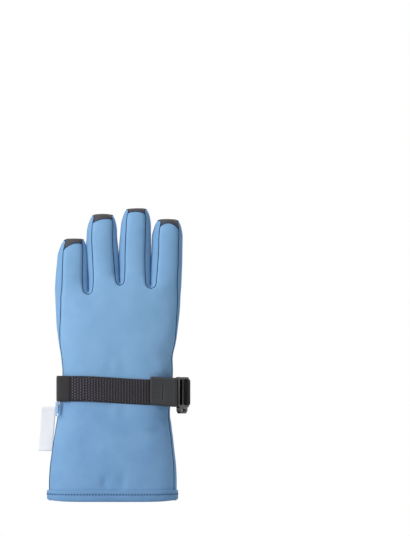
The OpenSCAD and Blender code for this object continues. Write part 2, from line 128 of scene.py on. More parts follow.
# The two edges seen flat, the half depth, and how far round the edge the long side
# seams sit, each against height. SQUARE is how boxy the section is.
LEFT = ((0, -64.2), (12, -64.2), (32, -63.4), (52, -61.2), (72, -57.8), (88, -54.8),
        (100, -53.4), (113, -52.2), (127, -50.8), (142, -51.4), (162, -54.2), (182, -56.3),
        (207, -57.4))
RIGHT = ((0, 64.2), (12, 64.3), (32, 64.2), (52, 62.4), (72, 60.0), (90, 57.8),
         (104, 58.2), (127, 60.6), (142, 60.6), (162, 64.2), (182, 66.6), (207, 67.8))
DEPTH = ((0, 26.2), (12, 26.2), (40, 25.0), (70, 22.0), (92, 18.4), (104, 16.3),
         (122, 16.1), (138, 17.0), (165, 17.0), (190, 16.2), (212, 15.0))
SEAM_LEFT = ((0, -0.08), (100, -0.1), (148, -0.02), (165, 0.3), (185, 0.52), (210, 0.6))
SEAM_RIGHT = ((0, 0.36), (70, 0.3), (100, 0.1), (148, 0.06), (165, 0.22), (185, 0.36),
              (210, 0.42))
SEAM_PALM = 0.62
SQUARE = ((0, 3.6), (90, 4.2), (150, 4.6), (210, 5.0))

FINGERS = ("little", "ring", "middle", "index")
CROTCH_X = (-24.0, 7.5, 38.0)
CROTCH_Z = (208.0, 217.0, 214.0)
OUTER_Z = 204.0
# the knuckle line, the tip, and the middle line and half width against height
KNUCKLE = (210.0, 219.0, 219.0, 216.0)
TIP = tuple(node_box(f + "_cap")[1][2] for f in FINGERS)
MIDLINE = (
    ((208, -40.4), (245, -39.7), (258, -38.8), (264, -38.3)),
    ((217, -8.6), (245, -9.8), (265, -10.6), (288, -9.8)),
    ((217, 22.6), (245, 22.3), (277, 23.4), (294, 23.8)),
    ((214, 52.9), (245, 54.1), (265, 54.6), (283, 55.4)),
)
HALF = (
    ((208, 17.1), (245, 15.4), (264, 14.6)),
    ((217, 16.3), (252, 16.5), (268, 15.4), (288, 15.2)),
    ((217, 16.2), (250, 16.4), (264, 15.9), (278, 15.2), (294, 15.2)),
    ((214, 15.8), (262, 15.6), (283, 15.5)),
)
FINGER_DEPTH = (12.2, 12.7, 12.7, 12.7)
# each finger's side seams from its middle line, and how far down its cap comes:
# at the left edge, the crown and the right edge, and where across the crown is
PANEL = ((-10.2, 9.8), (-10.4, 10.9), (-9.8, 9.8), (-8.2, 12.0))
CAP_DIP = ((12.0, 4.4, 5.2, 0.66), (8.8, 4.2, 4.8, 0.66), (4.4, 2.8, 5.2, 0.45),
           (7.0, 3.3, 10.4, 0.42))
# how the width closes in over the last stretch of a finger, against depth from its tip
TAPER = ((0, 0.57), (1.2, 0.66), (3, 0.755), (6.5, 0.85), (11.5, 0.94), (17, 1.0))
# columns of the mesh across each finger and across each side
PER_FINGER, PER_SIDE = 12, 8
BACK, RIGHT_SIDE, PALM, LEFT_SIDE = 0, 1, 2, 3


def hand_shape(z):
    l, r = curve(z, LEFT), curve(z, RIGHT)
    return (l + r) / 2, (r - l) / 2, curve(z, DEPTH), curve(z, SQUARE)


def hand_point(sector, x, z):
    """A point of the back or palm at x, or of a side at share x from back to palm."""
    c, a, b, p = hand_shape(z)
    if sector in (BACK, PALM):
        u = min(abs(x - c) / a, 1.0)
        return x, (-1 if sector == BACK else 1) * b * math.sqrt(1 - u**p), z
    seam = curve(z, SEAM_RIGHT if sector == RIGHT_SIDE else SEAM_LEFT)
    v = mix(-seam, SEAM_PALM, x)
    s = 1 if sector == RIGHT_SIDE else -1
    return c + s * a * (1 - v * v) ** (1 / p), b * v, z


def seam_x(sector, side, z):
    """Where the back's or palm's seam runs at height z."""
    c, a, b, p = hand_shape(z)
    q = SEAM_PALM if sector == PALM else curve(z, SEAM_LEFT if side < 0 else SEAM_RIGHT)
    return c + side * a * (1 - q * q) ** (1 / p)


def finger_point(i, sector, t, z):
    d = TIP[i] - z
    k = curve(d, TAPER)
    c, a = curve(z, MIDLINE[i]), curve(z, HALF[i]) * k
    b, p = FINGER_DEPTH[i] * k**0.85, 2.5
    edge = [c + s * mix(0.86, 1.0, smooth(d / 12)) for s in PANEL[i]]
    # the strips narrow towards each crotch
    if i > 0:
        edge[0] -= 1.7 * math.exp(-max(z - CROTCH_Z[i - 1], 0) / 13)
    if i < 3:
        edge[1] += 1.7 * math.exp(-max(z - CROTCH_Z[i], 0) / 13)
    edge = [c + max(min((e - c) / a, 0.93), -0.93) * a for e in edge]
    if sector in (BACK, PALM):
        x = mix(edge[0], edge[1], t)
        u = min(abs(x - c) / a, 1.0)
        return x, (-1 if sector == BACK else 1) * b * math.sqrt(1 - u**p), z
    s = 1 if sector == RIGHT_SIDE else -1
    u = abs(edge[1 if s > 0 else 0] - c) / a
    q = math.sqrt(1 - u**p)
    v = mix(-q, q, t)
    return c + s * a * (1 - v * v) ** (1 / p), b * v, z


def crotch_row(k):
    """Height of the row where the hand divides, at back column k of 48."""
    zs = (OUTER_Z, *CROTCH_Z, OUTER_Z)
    i = min(k // PER_FINGER, 3)
    return mix(zs[i], zs[i + 1], (k - i * PER_FINGER) / PER_FINGER)


class Skin:
    """The whole shell as one quad mesh, with a part number for each face."""

    def __init__(self):
        self.points, self.faces, self.part, self.names, self.seam = [], [], [], [], set()

    def add(self, p):
        self.points.append(tuple(p))
        return len(self.points) - 1

    def number(self, name):
        if name not in self.names:
            self.names.append(name)
        return self.names.index(name)

    def quads(self, low, high, flip, name):
        for k in range(len(low) - 1):
            face = (low[k], low[k + 1], high[k + 1], high[k])
            self.faces.append(tuple(reversed(face)) if flip else face)
            self.part.append(self.number(name))

    def band(self, low, high, names):
        """Joins two rings of four runs; names gives the part of each run."""
        for sector in range(4):
            flip = sector in (PALM, LEFT_SIDE)
            if isinstance(names[sector], tuple):
                front, rear, k = names[sector]
                self.quads(low[sector][:k + 1], high[sector][:k + 1], flip, front)
                self.quads(low[sector][k:], high[sector][k:], flip, rear)
            else:
                self.quads(low[sector], high[sector], flip, names[sector])
        for ring in (low, high):
            self.seam.update((ring[0][0], ring[0][-1], ring[2][0], ring[2][-1]))

    def fan(self, ring, middle, name, turned=False):
        """Closes a ring of four runs to one middle point."""
        for sector in range(4):
            flip = (sector in (PALM, LEFT_SIDE)) != turned
            for a, b in zip(ring[sector], ring[sector][1:]):
                face = (a, b, middle)
                self.faces.append(tuple(reversed(face)) if flip else face)
                self.part.append(self.number(name))


def ring_of(skin, point, n_face):
    """Adds a ring from point(sector, share): back, right, palm and left runs."""
    back = [skin.add(point(BACK, k / n_face)) for k in range(n_face + 1)]
    palm = [skin.add(point(PALM, k / n_face)) for k in range(n_face + 1)]
    right = [back[-1]] + [skin.add(point(RIGHT_SIDE, k / PER_SIDE))
                          for k in range(1, PER_SIDE)] + [palm[-1]]
    left = [back[0]] + [skin.add(point(LEFT_SIDE, k / PER_SIDE))
                        for k in range(1, PER_SIDE)] + [palm[0]]
    return back, right, palm, left


def hand_ring(skin, base_z, share):
    """A ring at base_z, leaning by share towards the row where the fingers divide."""
    cols = 4 * PER_FINGER

    def point(sector, t):
        if sector in (BACK, PALM):
            k = t * cols
            z = mix(base_z, crotch_row(int(round(k))), share)
            i = min(int(round(k)) // PER_FINGER, 3)
            lo, hi = seam_x(sector, -1, z), seam_x(sector, 1, z)
            w = 2 * t - 1
            even = mix(lo, hi, (1.2 * w - 0.2 * w**3 + 1) / 2)
            marks = (lo, *CROTCH_X, hi)
            split = mix(marks[i], marks[i + 1], k / PER_FINGER - i)
            return hand_point(sector, mix(even, split, smooth(share)), z)
        return hand_point(sector, t, mix(base_z, OUTER_Z, share))

    return ring_of(skin, point, cols)


join_z = node_box("back_of_hand")[0][2]
shell = Skin()
gauntlet_names = ("gauntlet_back", "gauntlet_side_index", "gauntlet_palm",
                  "gauntlet_side_little")
hand_names = ("back_of_hand", "side_panel_index", "palm_panel", "side_panel_little")
heights = [1.6, 4.0, 8.0, 12.0] + [12 + 4.0 * k for k in range(1, 21)] + \
    [95.5, 99.5, 104.0, 108.5, join_z]
rings = [hand_ring(shell, z, 0.0) for z in heights]
for low, high in zip(rings, rings[1:]):
    shell.band(low, high, gauntlet_names)
low = rings[-1]
for z in (118.0, 122.5, 127.0):
    high = hand_ring(shell, z, 0.0)
    shell.band(low, high, hand_names)
    low = high
shares = [k / 19 for k in range(1, 18)] + [0.925, 0.955, 0.978, 1.0]
for share in shares:
    high = hand_ring(shell, 127.0, share)
    shell.band(low, high, hand_names)
    low = high
top_back, top_right, top_palm, top_left = low

webs = []
for j in range(3):
    k = PER_FINGER * (j + 1)
    a, b = shell.points[top_back[k]], shell.points[top_palm[k]]
    inner = [shell.add((CROTCH_X[j], mix(a[1], b[1], v / PER_SIDE),
                        CROTCH_Z[j] + 7.0 * math.sin(math.pi * (v / PER_SIDE) ** 1.6)))
             for v in range(1, PER_SIDE)]
    webs.append([top_back[k]] + inner + [top_palm[k]])

WEB_NAMES = ("web_little_ring", "web_ring_middle", "web_middle_index")
WEB_RISE = 4.6
for i, finger in enumerate(FINGERS):
    k = PER_FINGER * i
    base = (
        top_back[k:k + PER_FINGER + 1],
        top_right if i == 3 else webs[i],
        top_palm[k:k + PER_FINGER + 1],
        top_left if i == 0 else webs[i - 1],
    )
    middle_z = float(np.mean([shell.points[n][2] for n in base[0]]))
    straight_top = TIP[i] - 17.0
    climbs = [0.9, 1.9, 3.1, 4.4, 6.0, 8.0, 10.5, 13.5, 17.0]
    steps = int(math.ceil((straight_top - middle_z - 17.0) / 4.4))
    climbs += [mix(17.0, straight_top - middle_z, (n + 1) / steps) for n in range(steps)]

    def cap_z(sector, t):
        left, crown, right, peak = CAP_DIP[i]
        if sector == BACK:
            if t < peak:
                return TIP[i] - mix(crown, left, ((peak - t) / peak) ** 2.1)
            return TIP[i] - mix(crown, right, ((t - peak) / (1 - peak)) ** 2.1)
        return TIP[i] - (9.2 if sector == PALM else mix(right, 9.2, t)
                         if sector == RIGHT_SIDE else mix(left, 9.2, t))

    def ring_at(climb=None, share=None, top=None):
        def point(sector, t):
            run = base[sector]
            n = int(round(t * (len(run) - 1)))
            bx, by, bz = shell.points[run[n]]
            if climb is None:
                z0 = straight_top
                zc = cap_z(sector, t)
                z = mix(z0, zc, share) if top is None else mix(zc, TIP[i], top)
                return finger_point(i, sector, t, z)
            z = mix(bz, middle_z, smooth(climb / 24)) + climb
            fx, fy, _ = finger_point(i, sector, t, z)
            round_in = math.sqrt(max(0.0, 1 - (1 - min(climb / WEB_RISE, 1.0)) ** 2))
            ease = smooth(climb / 12)
            left_in = ease if i == 0 else round_in
            right_in = ease if i == 3 else round_in
            wx = {BACK: mix(left_in, right_in, t), PALM: mix(left_in, right_in, t),
                  RIGHT_SIDE: right_in, LEFT_SIDE: left_in}[sector]
            return mix(bx, fx, wx), mix(by, fy, smooth(climb / 15)), z

        return ring_of(shell, point, PER_FINGER)

    low, last = base, 0.0
    for climb in climbs:
        high = ring_at(climb=climb)
        names = [finger + "_back", finger + "_sides", finger + "_palm", finger + "_sides"]
        if climb <= WEB_RISE:
            if i < 3:
                names[RIGHT_SIDE] = (WEB_NAMES[i], "palm_panel", 3)
            if i > 0:
                names[LEFT_SIDE] = (WEB_NAMES[i - 1], "palm_panel", 3)
        shell.band(low, high, names)
        low = high
    for share in (0.3, 0.6, 0.85, 1.0):
        high = ring_at(share=share)
        shell.band(low, high, names)
        low = high
    for top in (0.3, 0.6, 0.85, 1.0):
        high = ring_at(share=1.0, top=top)
        shell.band(low, high, [finger + "_cap", finger + ("_sides" if top < 1 else "_cap")] * 2)
        low = high
    # the flat end of the finger
    tip_c = curve(TIP[i], MIDLINE[i])
    middle = shell.add((tip_c, 0.0, TIP[i] + 0.35))
    inner = []
    for sector in range(4):
        inner.append([shell.add(tuple(mix(shell.points[n][m], (tip_c, 0.0, TIP[i] + 0.3)[m], 0.45)
                                      for m in range(3))) for n in low[sector]])
    inner[1][0], inner[1][-1] = inner[0][-1], inner[2][-1]
    inner[3][0], inner[3][-1] = inner[0][0], inner[2][0]
    shell.band(low, inner, [finger + "_cap"] * 4)
    shell.fan(inner, middle, finger + "_cap")

# ------------------------------------------------------------------- the thumb
# A padded pod of soft-shell cloth with a leather inside and cap. It is sewn as a
# tube of its own and set on a round gusset in the palm.
THUMB_X, THUMB_Z = 32.0, 158.0
THUMB_TOP = node_box("thumb_cap")[1][2]
THUMB_Y0, THUMB_Y1 = node_box("thumb_palm")[0][1], node_box("thumb_back")[1][1]
thumb = Skin()


def thumb_point(sector, t, z):
    d = THUMB_TOP - z
    k = curve(d, TAPER)
    low = max(0.0, min(1.0, (z - 141.2) / 16.8))
    a = mix(17.0, 13.6, smooth((z - 160) / 22)) * math.sqrt(max(0.02, 1 - (1 - low) ** 2)) * k
    full = (THUMB_Y1 - THUMB_Y0) / 2 - 0.2
    b = full * mix(0.55, 1.0, math.sqrt(low)) * k**0.9
    # the root sits against the gusset; the free end tapers about its own middle
    yc = mix(THUMB_Y0 + 0.3 + b, THUMB_Y0 + 0.3 + full, smooth((z - 165) / 15))
    p = 2.4
    if sector in (BACK, PALM):
        x = 0.74 * a * (2 * t - 1)
        s = 1 if sector == BACK else -1
        return THUMB_X + x, yc + s * b * math.sqrt(1 - abs(x / a) ** p), z
    q = math.sqrt(1 - 0.74**p)
    v = mix(q, -q, t)
    s = 1 if sector == RIGHT_SIDE else -1
    return THUMB_X + s * a * (1 - v * v) ** (1 / p), yc + b * v, z


def thumb_band(low, high, names):
    for sector in range(4):
        thumb.quads(low[sector], high[sector], sector not in (PALM, LEFT_SIDE), names[sector])


thumb_heights = [141.3, 142.2, 143.8, 146.0, 149.0, 152.5, 156.5] + \
    [160 + 4.3 * k for k in range(8)]
thumb_rings = [ring_of(thumb, lambda s, t, z=z: thumb_point(s, t, z), PER_FINGER)
               for z in thumb_heights]
first = thumb_rings[0]
names = ("thumb_back", "thumb_back", "thumb_palm", "thumb_back")
for low, high in zip(thumb_rings, thumb_rings[1:]):
    thumb_band(low, high, names)
low = thumb_rings[-1]
for z in (196.0, 200.0, 203.5):
    high = ring_of(thumb, lambda s, t: thumb_point(s, t, z), PER_FINGER)
    thumb_band(low, high, names)
    low = high
for z in (206.0, 208.4, 210.0, THUMB_TOP):
    high = ring_of(thumb, lambda s, t: thumb_point(s, t, z), PER_FINGER)
    thumb_band(low, high, ("thumb_cap",) * 4)
    low = high
for ring, z, name, up in ((low, THUMB_TOP + 0.2, "thumb_cap", True),
                          (first, 141.1, "thumb_back", False)):
    yc = float(np.mean([thumb.points[n][1] for run in ring for n in run]))
    middle = thumb.add((THUMB_X, yc, z))
    thumb.fan(ring, middle, name, turned=up)


# ------------------------------------------------------------ padding and slack
# Wadding pushes the cover out between its seams, which stay pressed in, and use
# leaves it with slack, dents and puckers above and below the strap.
def vertex_normals(points, faces):
    normals = np.zeros_like(points)
    for face in faces:
        a, b, c = points[face[0]], points[face[1]], points[face[-1]]
        n = np.cross(b - a, c - a)
        for v in face:
            normals[v] += n
    return normals / np.maximum(np.linalg.norm(normals, axis=1, keepdims=True), 1e-9)


def inflate(skin, pressure, held, most):
    """A short cloth simulation: the wadding's pressure swells the cloth between its
    held seams, and no point moves further than most. Returns the new points."""
    points = np.array(skin.points, float)
    mesh = bpy.data.meshes.new("swell")
    mesh.from_pydata([tuple(p * MM) for p in points], [], skin.faces)
    piece = bpy.data.objects.new("swell", mesh)
    bpy.context.scene.collection.objects.link(piece)
    pins = piece.vertex_groups.new(name="held")
    for v, p in enumerate(points):
        pins.add([v], 1.0 if v in skin.seam else held(p), "REPLACE")
    cloth = piece.modifiers.new("cloth", "CLOTH")
    cloth.settings.vertex_group_mass = "held"
    cloth.settings.quality = 8
    cloth.settings.mass = 0.12
    cloth.settings.tension_stiffness = 12
    cloth.settings.compression_stiffness = 12
    cloth.settings.shear_stiffness = 6
    cloth.settings.bending_stiffness = 0.4
    cloth.settings.use_pressure = True
    cloth.settings.uniform_pressure_force = pressure
    cloth.settings.effector_weights.gravity = 0.0
    cloth.collision_settings.use_collision = False
    cloth.collision_settings.use_self_collision = False
    cloth.point_cache.frame_start, cloth.point_cache.frame_end = 1, 14
    for frame_number in range(1, 15):
        bpy.context.scene.frame_set(frame_number)
    final = piece.evaluated_get(bpy.context.evaluated_depsgraph_get()).to_mesh()
    move = np.array([v.co for v in final.vertices], float) / MM - points
    bpy.context.scene.frame_set(1)
    bpy.data.objects.remove(piece)
    length = np.linalg.norm(move, axis=1, keepdims=True)
    return points + move * np.minimum(1.0, most / np.maximum(length, 1e-9))


def soften(skin, crease, points):
    """Presses the seams in, subdivides once, and returns points, faces and parts."""
    normals = vertex_normals(points, skin.faces)
    for v in skin.seam:
        points[v] -= normals[v] * crease
    mesh = bpy.data.meshes.new("skin")
    mesh.from_pydata([tuple(p) for p in points], [], skin.faces)
    for _ in skin.names:
        mesh.materials.append(None)
    mesh.polygons.foreach_set("material_index", skin.part)
    piece = bpy.data.objects.new("skin", mesh)
    bpy.context.scene.collection.objects.link(piece)
    piece.modifiers.new("round", "SUBSURF").levels = 1
    bpy.context.view_layer.update()
    final = piece.evaluated_get(bpy.context.evaluated_depsgraph_get()).to_mesh()
    co = np.array([v.co for v in final.vertices], float)
    faces = [tuple(p.vertices) for p in final.polygons]
    part = [p.material_index for p in final.polygons]
    bpy.data.objects.remove(piece)
    return co, faces, part


def cloth_life(p):
    """How far the cloth swells or dips at a point: slack, strap pull and soft dents."""
    x, y, z = p
    slack = noise.noise(Vector((x / 26, y / 26, z / 34))) * 0.75
    slack += noise.noise(Vector((x / 11 + 7, y / 11, z / 15))) * 0.16
    front = 1.0 if y < 0 else 0.6
    dents = 0.0
    for cx, cz, rx, rz, depth in (
        (-7.5, 19, 3.6, 6.5, 1.5), (10.5, 20, 3.6, 7, 1.5), (1.5, 24, 2.5, 6, -0.4),
        (-38, 18, 7, 5, 0.9), (34, 18, 6, 4, 0.6),
        (46, 72, 10, 4, 2.2), (52, 84, 8, 8, 1.5), (-46, 82, 7, 9, 0.7), (25, 60, 14, 4, 0.5),
        (50, 182, 9, 10, 1.0), (38, 172, 12, 16, 0.6), (-44, 150, 7, 12, 0.6),
        (54, 148, 7, 10, 0.9), (-20, 142, 16, 5, 0.4),
    ):
        dents -= depth * math.exp(-(((x - cx) / rx) ** 2 + ((z - cz) / rz) ** 2))
    pull = 0.35 * math.sin(x * 0.31 + 1.2 * math.sin(x * 0.11)) * (
        math.exp(-(((z - 133) / 7) ** 2)) + math.exp(-(((z - 91) / 6) ** 2)))
    return slack + front * dents + pull


def settle(co, faces):
    normals = vertex_normals(co, faces)
    quiet = np.array([1 - math.exp(-(((p[2] - 112) / 11) ** 4)) for p in co])
    quiet *= np.array([smooth((p[2] - 3) / 14) for p in co])
    move = np.array([cloth_life(p) for p in co]) * quiet
    co = co + normals * move[:, None]
    return co, vertex_normals(co, faces)


def hand_held(p):
    """The hem, the strapped wrist and the joint rows stay where they are."""
    return max(1 - smooth((p[2] - 14) / 10), math.exp(-(((p[2] - 112) / 17) ** 4)), 0.0)


HAND_PRESSURE, HAND_SWELL = 60.0, 1.6
THUMB_PRESSURE, THUMB_SWELL = 300.0, 1.0
SEAM_CREASE = 1.15
hand_points = inflate(shell, HAND_PRESSURE, hand_held, HAND_SWELL)
thumb_points = inflate(thumb, THUMB_PRESSURE, lambda p: 1 - smooth((p[1] - 24) / 6),
                       THUMB_SWELL)
hand_co, hand_faces, hand_part = soften(shell, SEAM_CREASE, hand_points)
hand_co, hand_normals = settle(hand_co, hand_faces)
thumb_co, thumb_faces, thumb_part = soften(thumb, 0.0, thumb_points)
thumb_normals = vertex_normals(thumb_co, thumb_faces)


# ---------------------------------------------------------------- outer panels
# Back, palm and side panels of gauntlet and hand, and the small webs that close
# each crotch: cut flat from cloth and leather, and sewn edge to edge.
def colour(value):
    """An sRGB hex colour as linear RGBA."""
    out = []
    for i in (1, 3, 5):
        c = int(value[i:i + 2], 16) / 255
        out.append(c / 12.92 if c <= 0.04045 else ((c + 0.055) / 1.055) ** 2.4)
    return (*out, 1.0)


def new_material(name, roughness, sheen=0.0, coat=0.0, specular=0.5):
    material = bpy.data.materials.new(name)
    material.use_nodes = True
    tree = material.node_tree
    shader = tree.nodes["Principled BSDF"]
    shader.inputs["Roughness"].default_value = roughness
    shader.inputs["Sheen Weight"].default_value = sheen
    shader.inputs["Sheen Roughness"].default_value = 0.45
    shader.inputs["Coat Weight"].default_value = coat
    shader.inputs["Specular IOR Level"].default_value = specular
    return material, tree, shader


def node(tree, kind, links=None, **settings):
    """Adds a node; links maps an input's name or number to a socket or a value."""
    n = tree.nodes.new("ShaderNode" + kind)
    for key, value in settings.items():
        setattr(n, key, value)
    for key, value in (links or {}).items():
        socket = n.inputs[key]
        if isinstance(value, bpy.types.NodeSocket):
            tree.links.new(value, socket)
        else:
            socket.default_value = value
    return n


def coords(tree, scale=(1, 1, 1), uv=False, turn=(0, 0, 0)):
    source = node(tree, "TexCoord")
    return node(
        tree, "Mapping",
        {"Vector": source.outputs["UV" if uv else "Object"], "Scale": scale, "Rotation": turn},
    ).outputs["Vector"]


def two_tone(tree, factor, dark, light):
    ramp = node(tree, "Mix", {"Factor": factor}, data_type="RGBA")
    ramp.inputs["A"].default_value = colour(dark)
    ramp.inputs["B"].default_value = colour(light)
    return ramp.outputs["Result"]


def set_colour(tree, shader, socket):
    tree.links.new(socket, shader.inputs["Base Color"])


def set_bump(tree, shader, height, distance, strength=1.0, normal=None):
    links = {"Height": height, "Distance": distance, "Strength": strength}
    if normal is not None:
        links["Normal"] = normal
    bump = node(tree, "Bump", links)
    tree.links.new(bump.outputs["Normal"], shader.inputs["Normal"])
    return bump.outputs["Normal"]


def wave_scale(pitch):
    """A wave texture's scale for one repeat every pitch millimetres."""
    return 1 / (pitch * MM) / 20 * 6.283


def woven(name, dark, light, pitch=0.75, roughness=0.82, sheen=0.25, depth=0.06):
    """Fine twill with a soft face: two thread directions, slubs, and mild mottling."""
    material, tree, shader = new_material(name, roughness, sheen, specular=0.25)
    across = node(tree, "TexWave", {"Vector": coords(tree), "Scale": wave_scale(pitch),
                                    "Distortion": 0.6, "Detail": 1.0},
                  wave_type="BANDS", bands_direction="X")
    along = node(tree, "TexWave", {"Vector": coords(tree), "Scale": wave_scale(pitch),
                                   "Distortion": 0.6, "Detail": 1.0},
                 wave_type="BANDS", bands_direction="Z")
    threads = node(tree, "Math", {0: across.outputs["Fac"], 1: along.outputs["Fac"]},
                   operation="ADD")
    cloudy = node(tree, "TexNoise", {"Vector": coords(tree), "Scale": 34.0, "Detail": 6.0,
                                     "Roughness": 0.6})
    slub = node(tree, "TexNoise", {"Vector": coords(tree, (900, 900, 2600)), "Scale": 1.0,
                                   "Detail": 2.0})
    blend = node(tree, "Math", {0: cloudy.outputs["Fac"], 1: 0.9, 2: -0.08},
                 operation="MULTIPLY_ADD")
    grain = node(tree, "Math", {0: slub.outputs["Fac"], 1: 0.35, 2: blend.outputs["Value"]},
                 operation="MULTIPLY_ADD")
    set_colour(tree, shader, two_tone(tree, grain.outputs["Value"], dark, light))
    shader.inputs["Sheen Tint"].default_value = colour(light)
    set_bump(tree, shader, threads.outputs["Value"], depth * MM, 0.6)
    return material


def leather(name, dark, light, scale=620, roughness=0.55, depth=0.18):
    """Grained leather: small pebbles with finer pores, rubbed lighter on the crowns."""
    material, tree, shader = new_material(name, roughness, 0.1, specular=0.4)
    pebble = node(tree, "TexVoronoi", {"Vector": coords(tree), "Scale": float(scale)},
                  feature="SMOOTH_F1")
    pores = node(tree, "TexNoise", {"Vector": coords(tree), "Scale": scale * 3.0, "Detail": 4.0})
    worn = node(tree, "TexNoise", {"Vector": coords(tree), "Scale": 45.0, "Detail": 5.0})
    face = node(tree, "Math", {0: pebble.outputs["Distance"], 1: 0.6,
                               2: worn.outputs["Fac"]}, operation="MULTIPLY_ADD")
    set_colour(tree, shader, two_tone(tree, face.outputs["Value"], dark, light))
    height = node(tree, "Math", {0: pores.outputs["Fac"], 1: 0.4,
                                 2: pebble.outputs["Distance"]}, operation="MULTIPLY_ADD")
    rough = node(tree, "MapRange", {"Value": worn.outputs["Fac"], "To Min": roughness - 0.08,
                                    "To Max": roughness + 0.1})
    tree.links.new(rough.outputs["Result"], shader.inputs["Roughness"])
    set_bump(tree, shader, height.outputs["Value"], depth * MM, 0.7)
    return material


def new_piece(name, verts, faces, material, uvs=None, normals=None):
    """A mesh object from millimetre points, at the origin, with smooth shading."""
    mesh = bpy.data.meshes.new(name)
    mesh.from_pydata([frame_point(v) for v in verts], [], faces)
    mesh.validate()
    mesh.polygons.foreach_set("use_smooth", [True] * len(mesh.polygons))
    if uvs is not None:
        layer = mesh.uv_layers.new(name="UVMap")
        for loop in mesh.loops:
            layer.data[loop.index].uv = uvs[loop.vertex_index]
    if normals is not None:
        mesh.normals_split_custom_set(normals)
    mesh.materials.append(material)
    piece = bpy.data.objects.new(name, mesh)
    bpy.context.scene.collection.objects.link(piece)
    return piece


def cut_piece(name, skin, co, normals, faces, part, parts, material, offset=0.0, thick=1.1):
    """A closed sheet of cloth from the chosen parts of a skin, shaded as one surface."""
    wanted = {skin.names.index(p) for p in parts if p in skin.names}
    chosen = [f for f, n in zip(faces, part) if n in wanted]
    used = sorted({v for f in chosen for v in f})
    index = {v: k for k, v in enumerate(used)}
    outer = co[used] + normals[used] * offset
    inner = outer - normals[used] * thick
    out = [tuple(index[v] for v in f) for f in chosen]
    n = len(used)
    edges = {}
    for f in out:
        for a, b in zip(f, f[1:] + f[:1]):
            edges[(a, b)] = True
    rim = [(b, a, a + n, b + n) for a, b in edges if (b, a) not in edges]
    shape = out + [tuple(v + n for v in reversed(f)) for f in out] + rim
    verts = [tuple(p) for p in outer] + [tuple(p) for p in inner]
    nn = normals[used]
    loops = []
    for f in out:
        loops += [tuple(nn[v]) for v in f]
    for f in out:
        loops += [tuple(-nn[v]) for v in reversed(f)]
    allv = np.vstack([outer, inner])
    for f in rim:
        c = np.cross(allv[f[1]] - allv[f[0]], allv[f[2]] - allv[f[0]])
        c = c / max(np.linalg.norm(c), 1e-9)
        loops += [tuple(c)] * 4
    return new_piece(name, verts, shape, material, normals=loops)


def hand_cut(name, parts, material, offset=0.0, thick=1.1):
    return cut_piece(name, shell, hand_co, hand_normals, hand_faces, hand_part, parts,
                     material, offset, thick)


def place(piece, body, slot, stands_for=None):
    """Sets a piece's body, where one is given, and hides the node it stands for; slot is not used.
    """
    if body:
        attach(piece, body)
    if stands_for:
        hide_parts(stands_for)


# Soft-shell: polyester twill with a brushed face, dull, faintly mottled. The cuff's
# and the side strips' copies of it are a shade darker, which is painted shade. The twill is
# drawn coarser than real, so that it shows.
blue_back = woven("softshell_blue", "#6c9bc6", "#8db6dc")
# Painted shade: the back's cloth a shade darker, for the side strips and webs turned from the
# light.
shaded_blue_side = woven("softshell_side", "#6896c2", "#86b0d7")
# Painted shade: the back's cloth a shade darker, for the lower cuff away from the light.
shaded_blue_cuff = woven("softshell_cuff_painted_shade", "#628fbd", "#84add5")
# Palm leather: thin grained synthetic leather, charcoal, rubbed paler on its pebbles.
palm_leather = leather("palm_leather", "#322f32", "#4b474a")

for name, material, slot in (
    ("gauntlet_back", shaded_blue_cuff, "softshell"),
    ("gauntlet_palm", palm_leather, "palm_leather"),
    ("gauntlet_side_index", shaded_blue_side, "softshell_side"),
    ("gauntlet_side_little", shaded_blue_side, "softshell_side"),
    ("back_of_hand", blue_back, "softshell"),
    ("palm_panel", palm_leather, "palm_leather"),
    ("side_panel_index", shaded_blue_side, "softshell_side"),
    ("side_panel_little", shaded_blue_side, "softshell_side"),
    ("web_little_ring", shaded_blue_side, "softshell_side"),
    ("web_ring_middle", shaded_blue_side, "softshell_side"),
    ("web_middle_index", shaded_blue_side, "softshell_side"),
):
    place(hand_cut(name + "_cloth", [name], material), "hand", slot, name)

# --------------------------------------------------------------------- fingers
# Each finger is a cloth back with two side strips, a leather palm and a leather cap
# turned over the tip.

# Cap leather: as the palm's, a little duller where the tip is handled.
cap_leather = leather("cap_leather", "#2b282b", "#434043", roughness=0.62)


def bend_with(piece, finger, slot, stands_for=None):
    """Bakes a finger piece's transform and hides the node it stands for; the piece gets no body
    and does not bend.
    """
    i = FINGERS.index(finger)
    x, z = curve(KNUCKLE[i], MIDLINE[i]), KNUCKLE[i]
    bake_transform(piece)
    place(piece, None, slot, stands_for)


for finger in FINGERS:
    for part, material, slot in (("back", blue_back, "softshell"),
                                 ("sides", shaded_blue_side, "softshell_side"),
                                 ("palm", palm_leather, "palm_leather"),
                                 ("cap", cap_leather, "palm_leather")):
        name = f"{finger}_{part}"
        bend_with(hand_cut(name + "_cloth", [name], material), finger, slot, name)

# ------------------------------------------------------------- padding and lining
# A layer of polyester wadding and a brushed lining follow the cover inside. They are
# caught in its seams.

# Wadding: loose white polyester fibre, quite dull.
wadding = woven("wadding", "#c9ccd0", "#eceef0", pitch=1.6, roughness=0.95, sheen=0.5, depth=0.3)
# Lining: grey knitted fleece with a raised nap.
fleece = woven("fleece", "#6f747c", "#9aa0a8", pitch=1.1, roughness=0.95, sheen=0.6, depth=0.25)


def thumb_cut(name, parts, material, offset=0.0, thick=1.1):
    return cut_piece(name, thumb, thumb_co, thumb_normals, thumb_faces, thumb_part, parts,
                     material, offset, thick)


hand_groups = {
    "gauntlet": list(gauntlet_names),
    "hand": list(hand_names) + list(WEB_NAMES),
}
for finger in FINGERS:
    hand_groups[finger] = [f"{finger}_{p}" for p in ("back", "sides", "palm", "cap")]
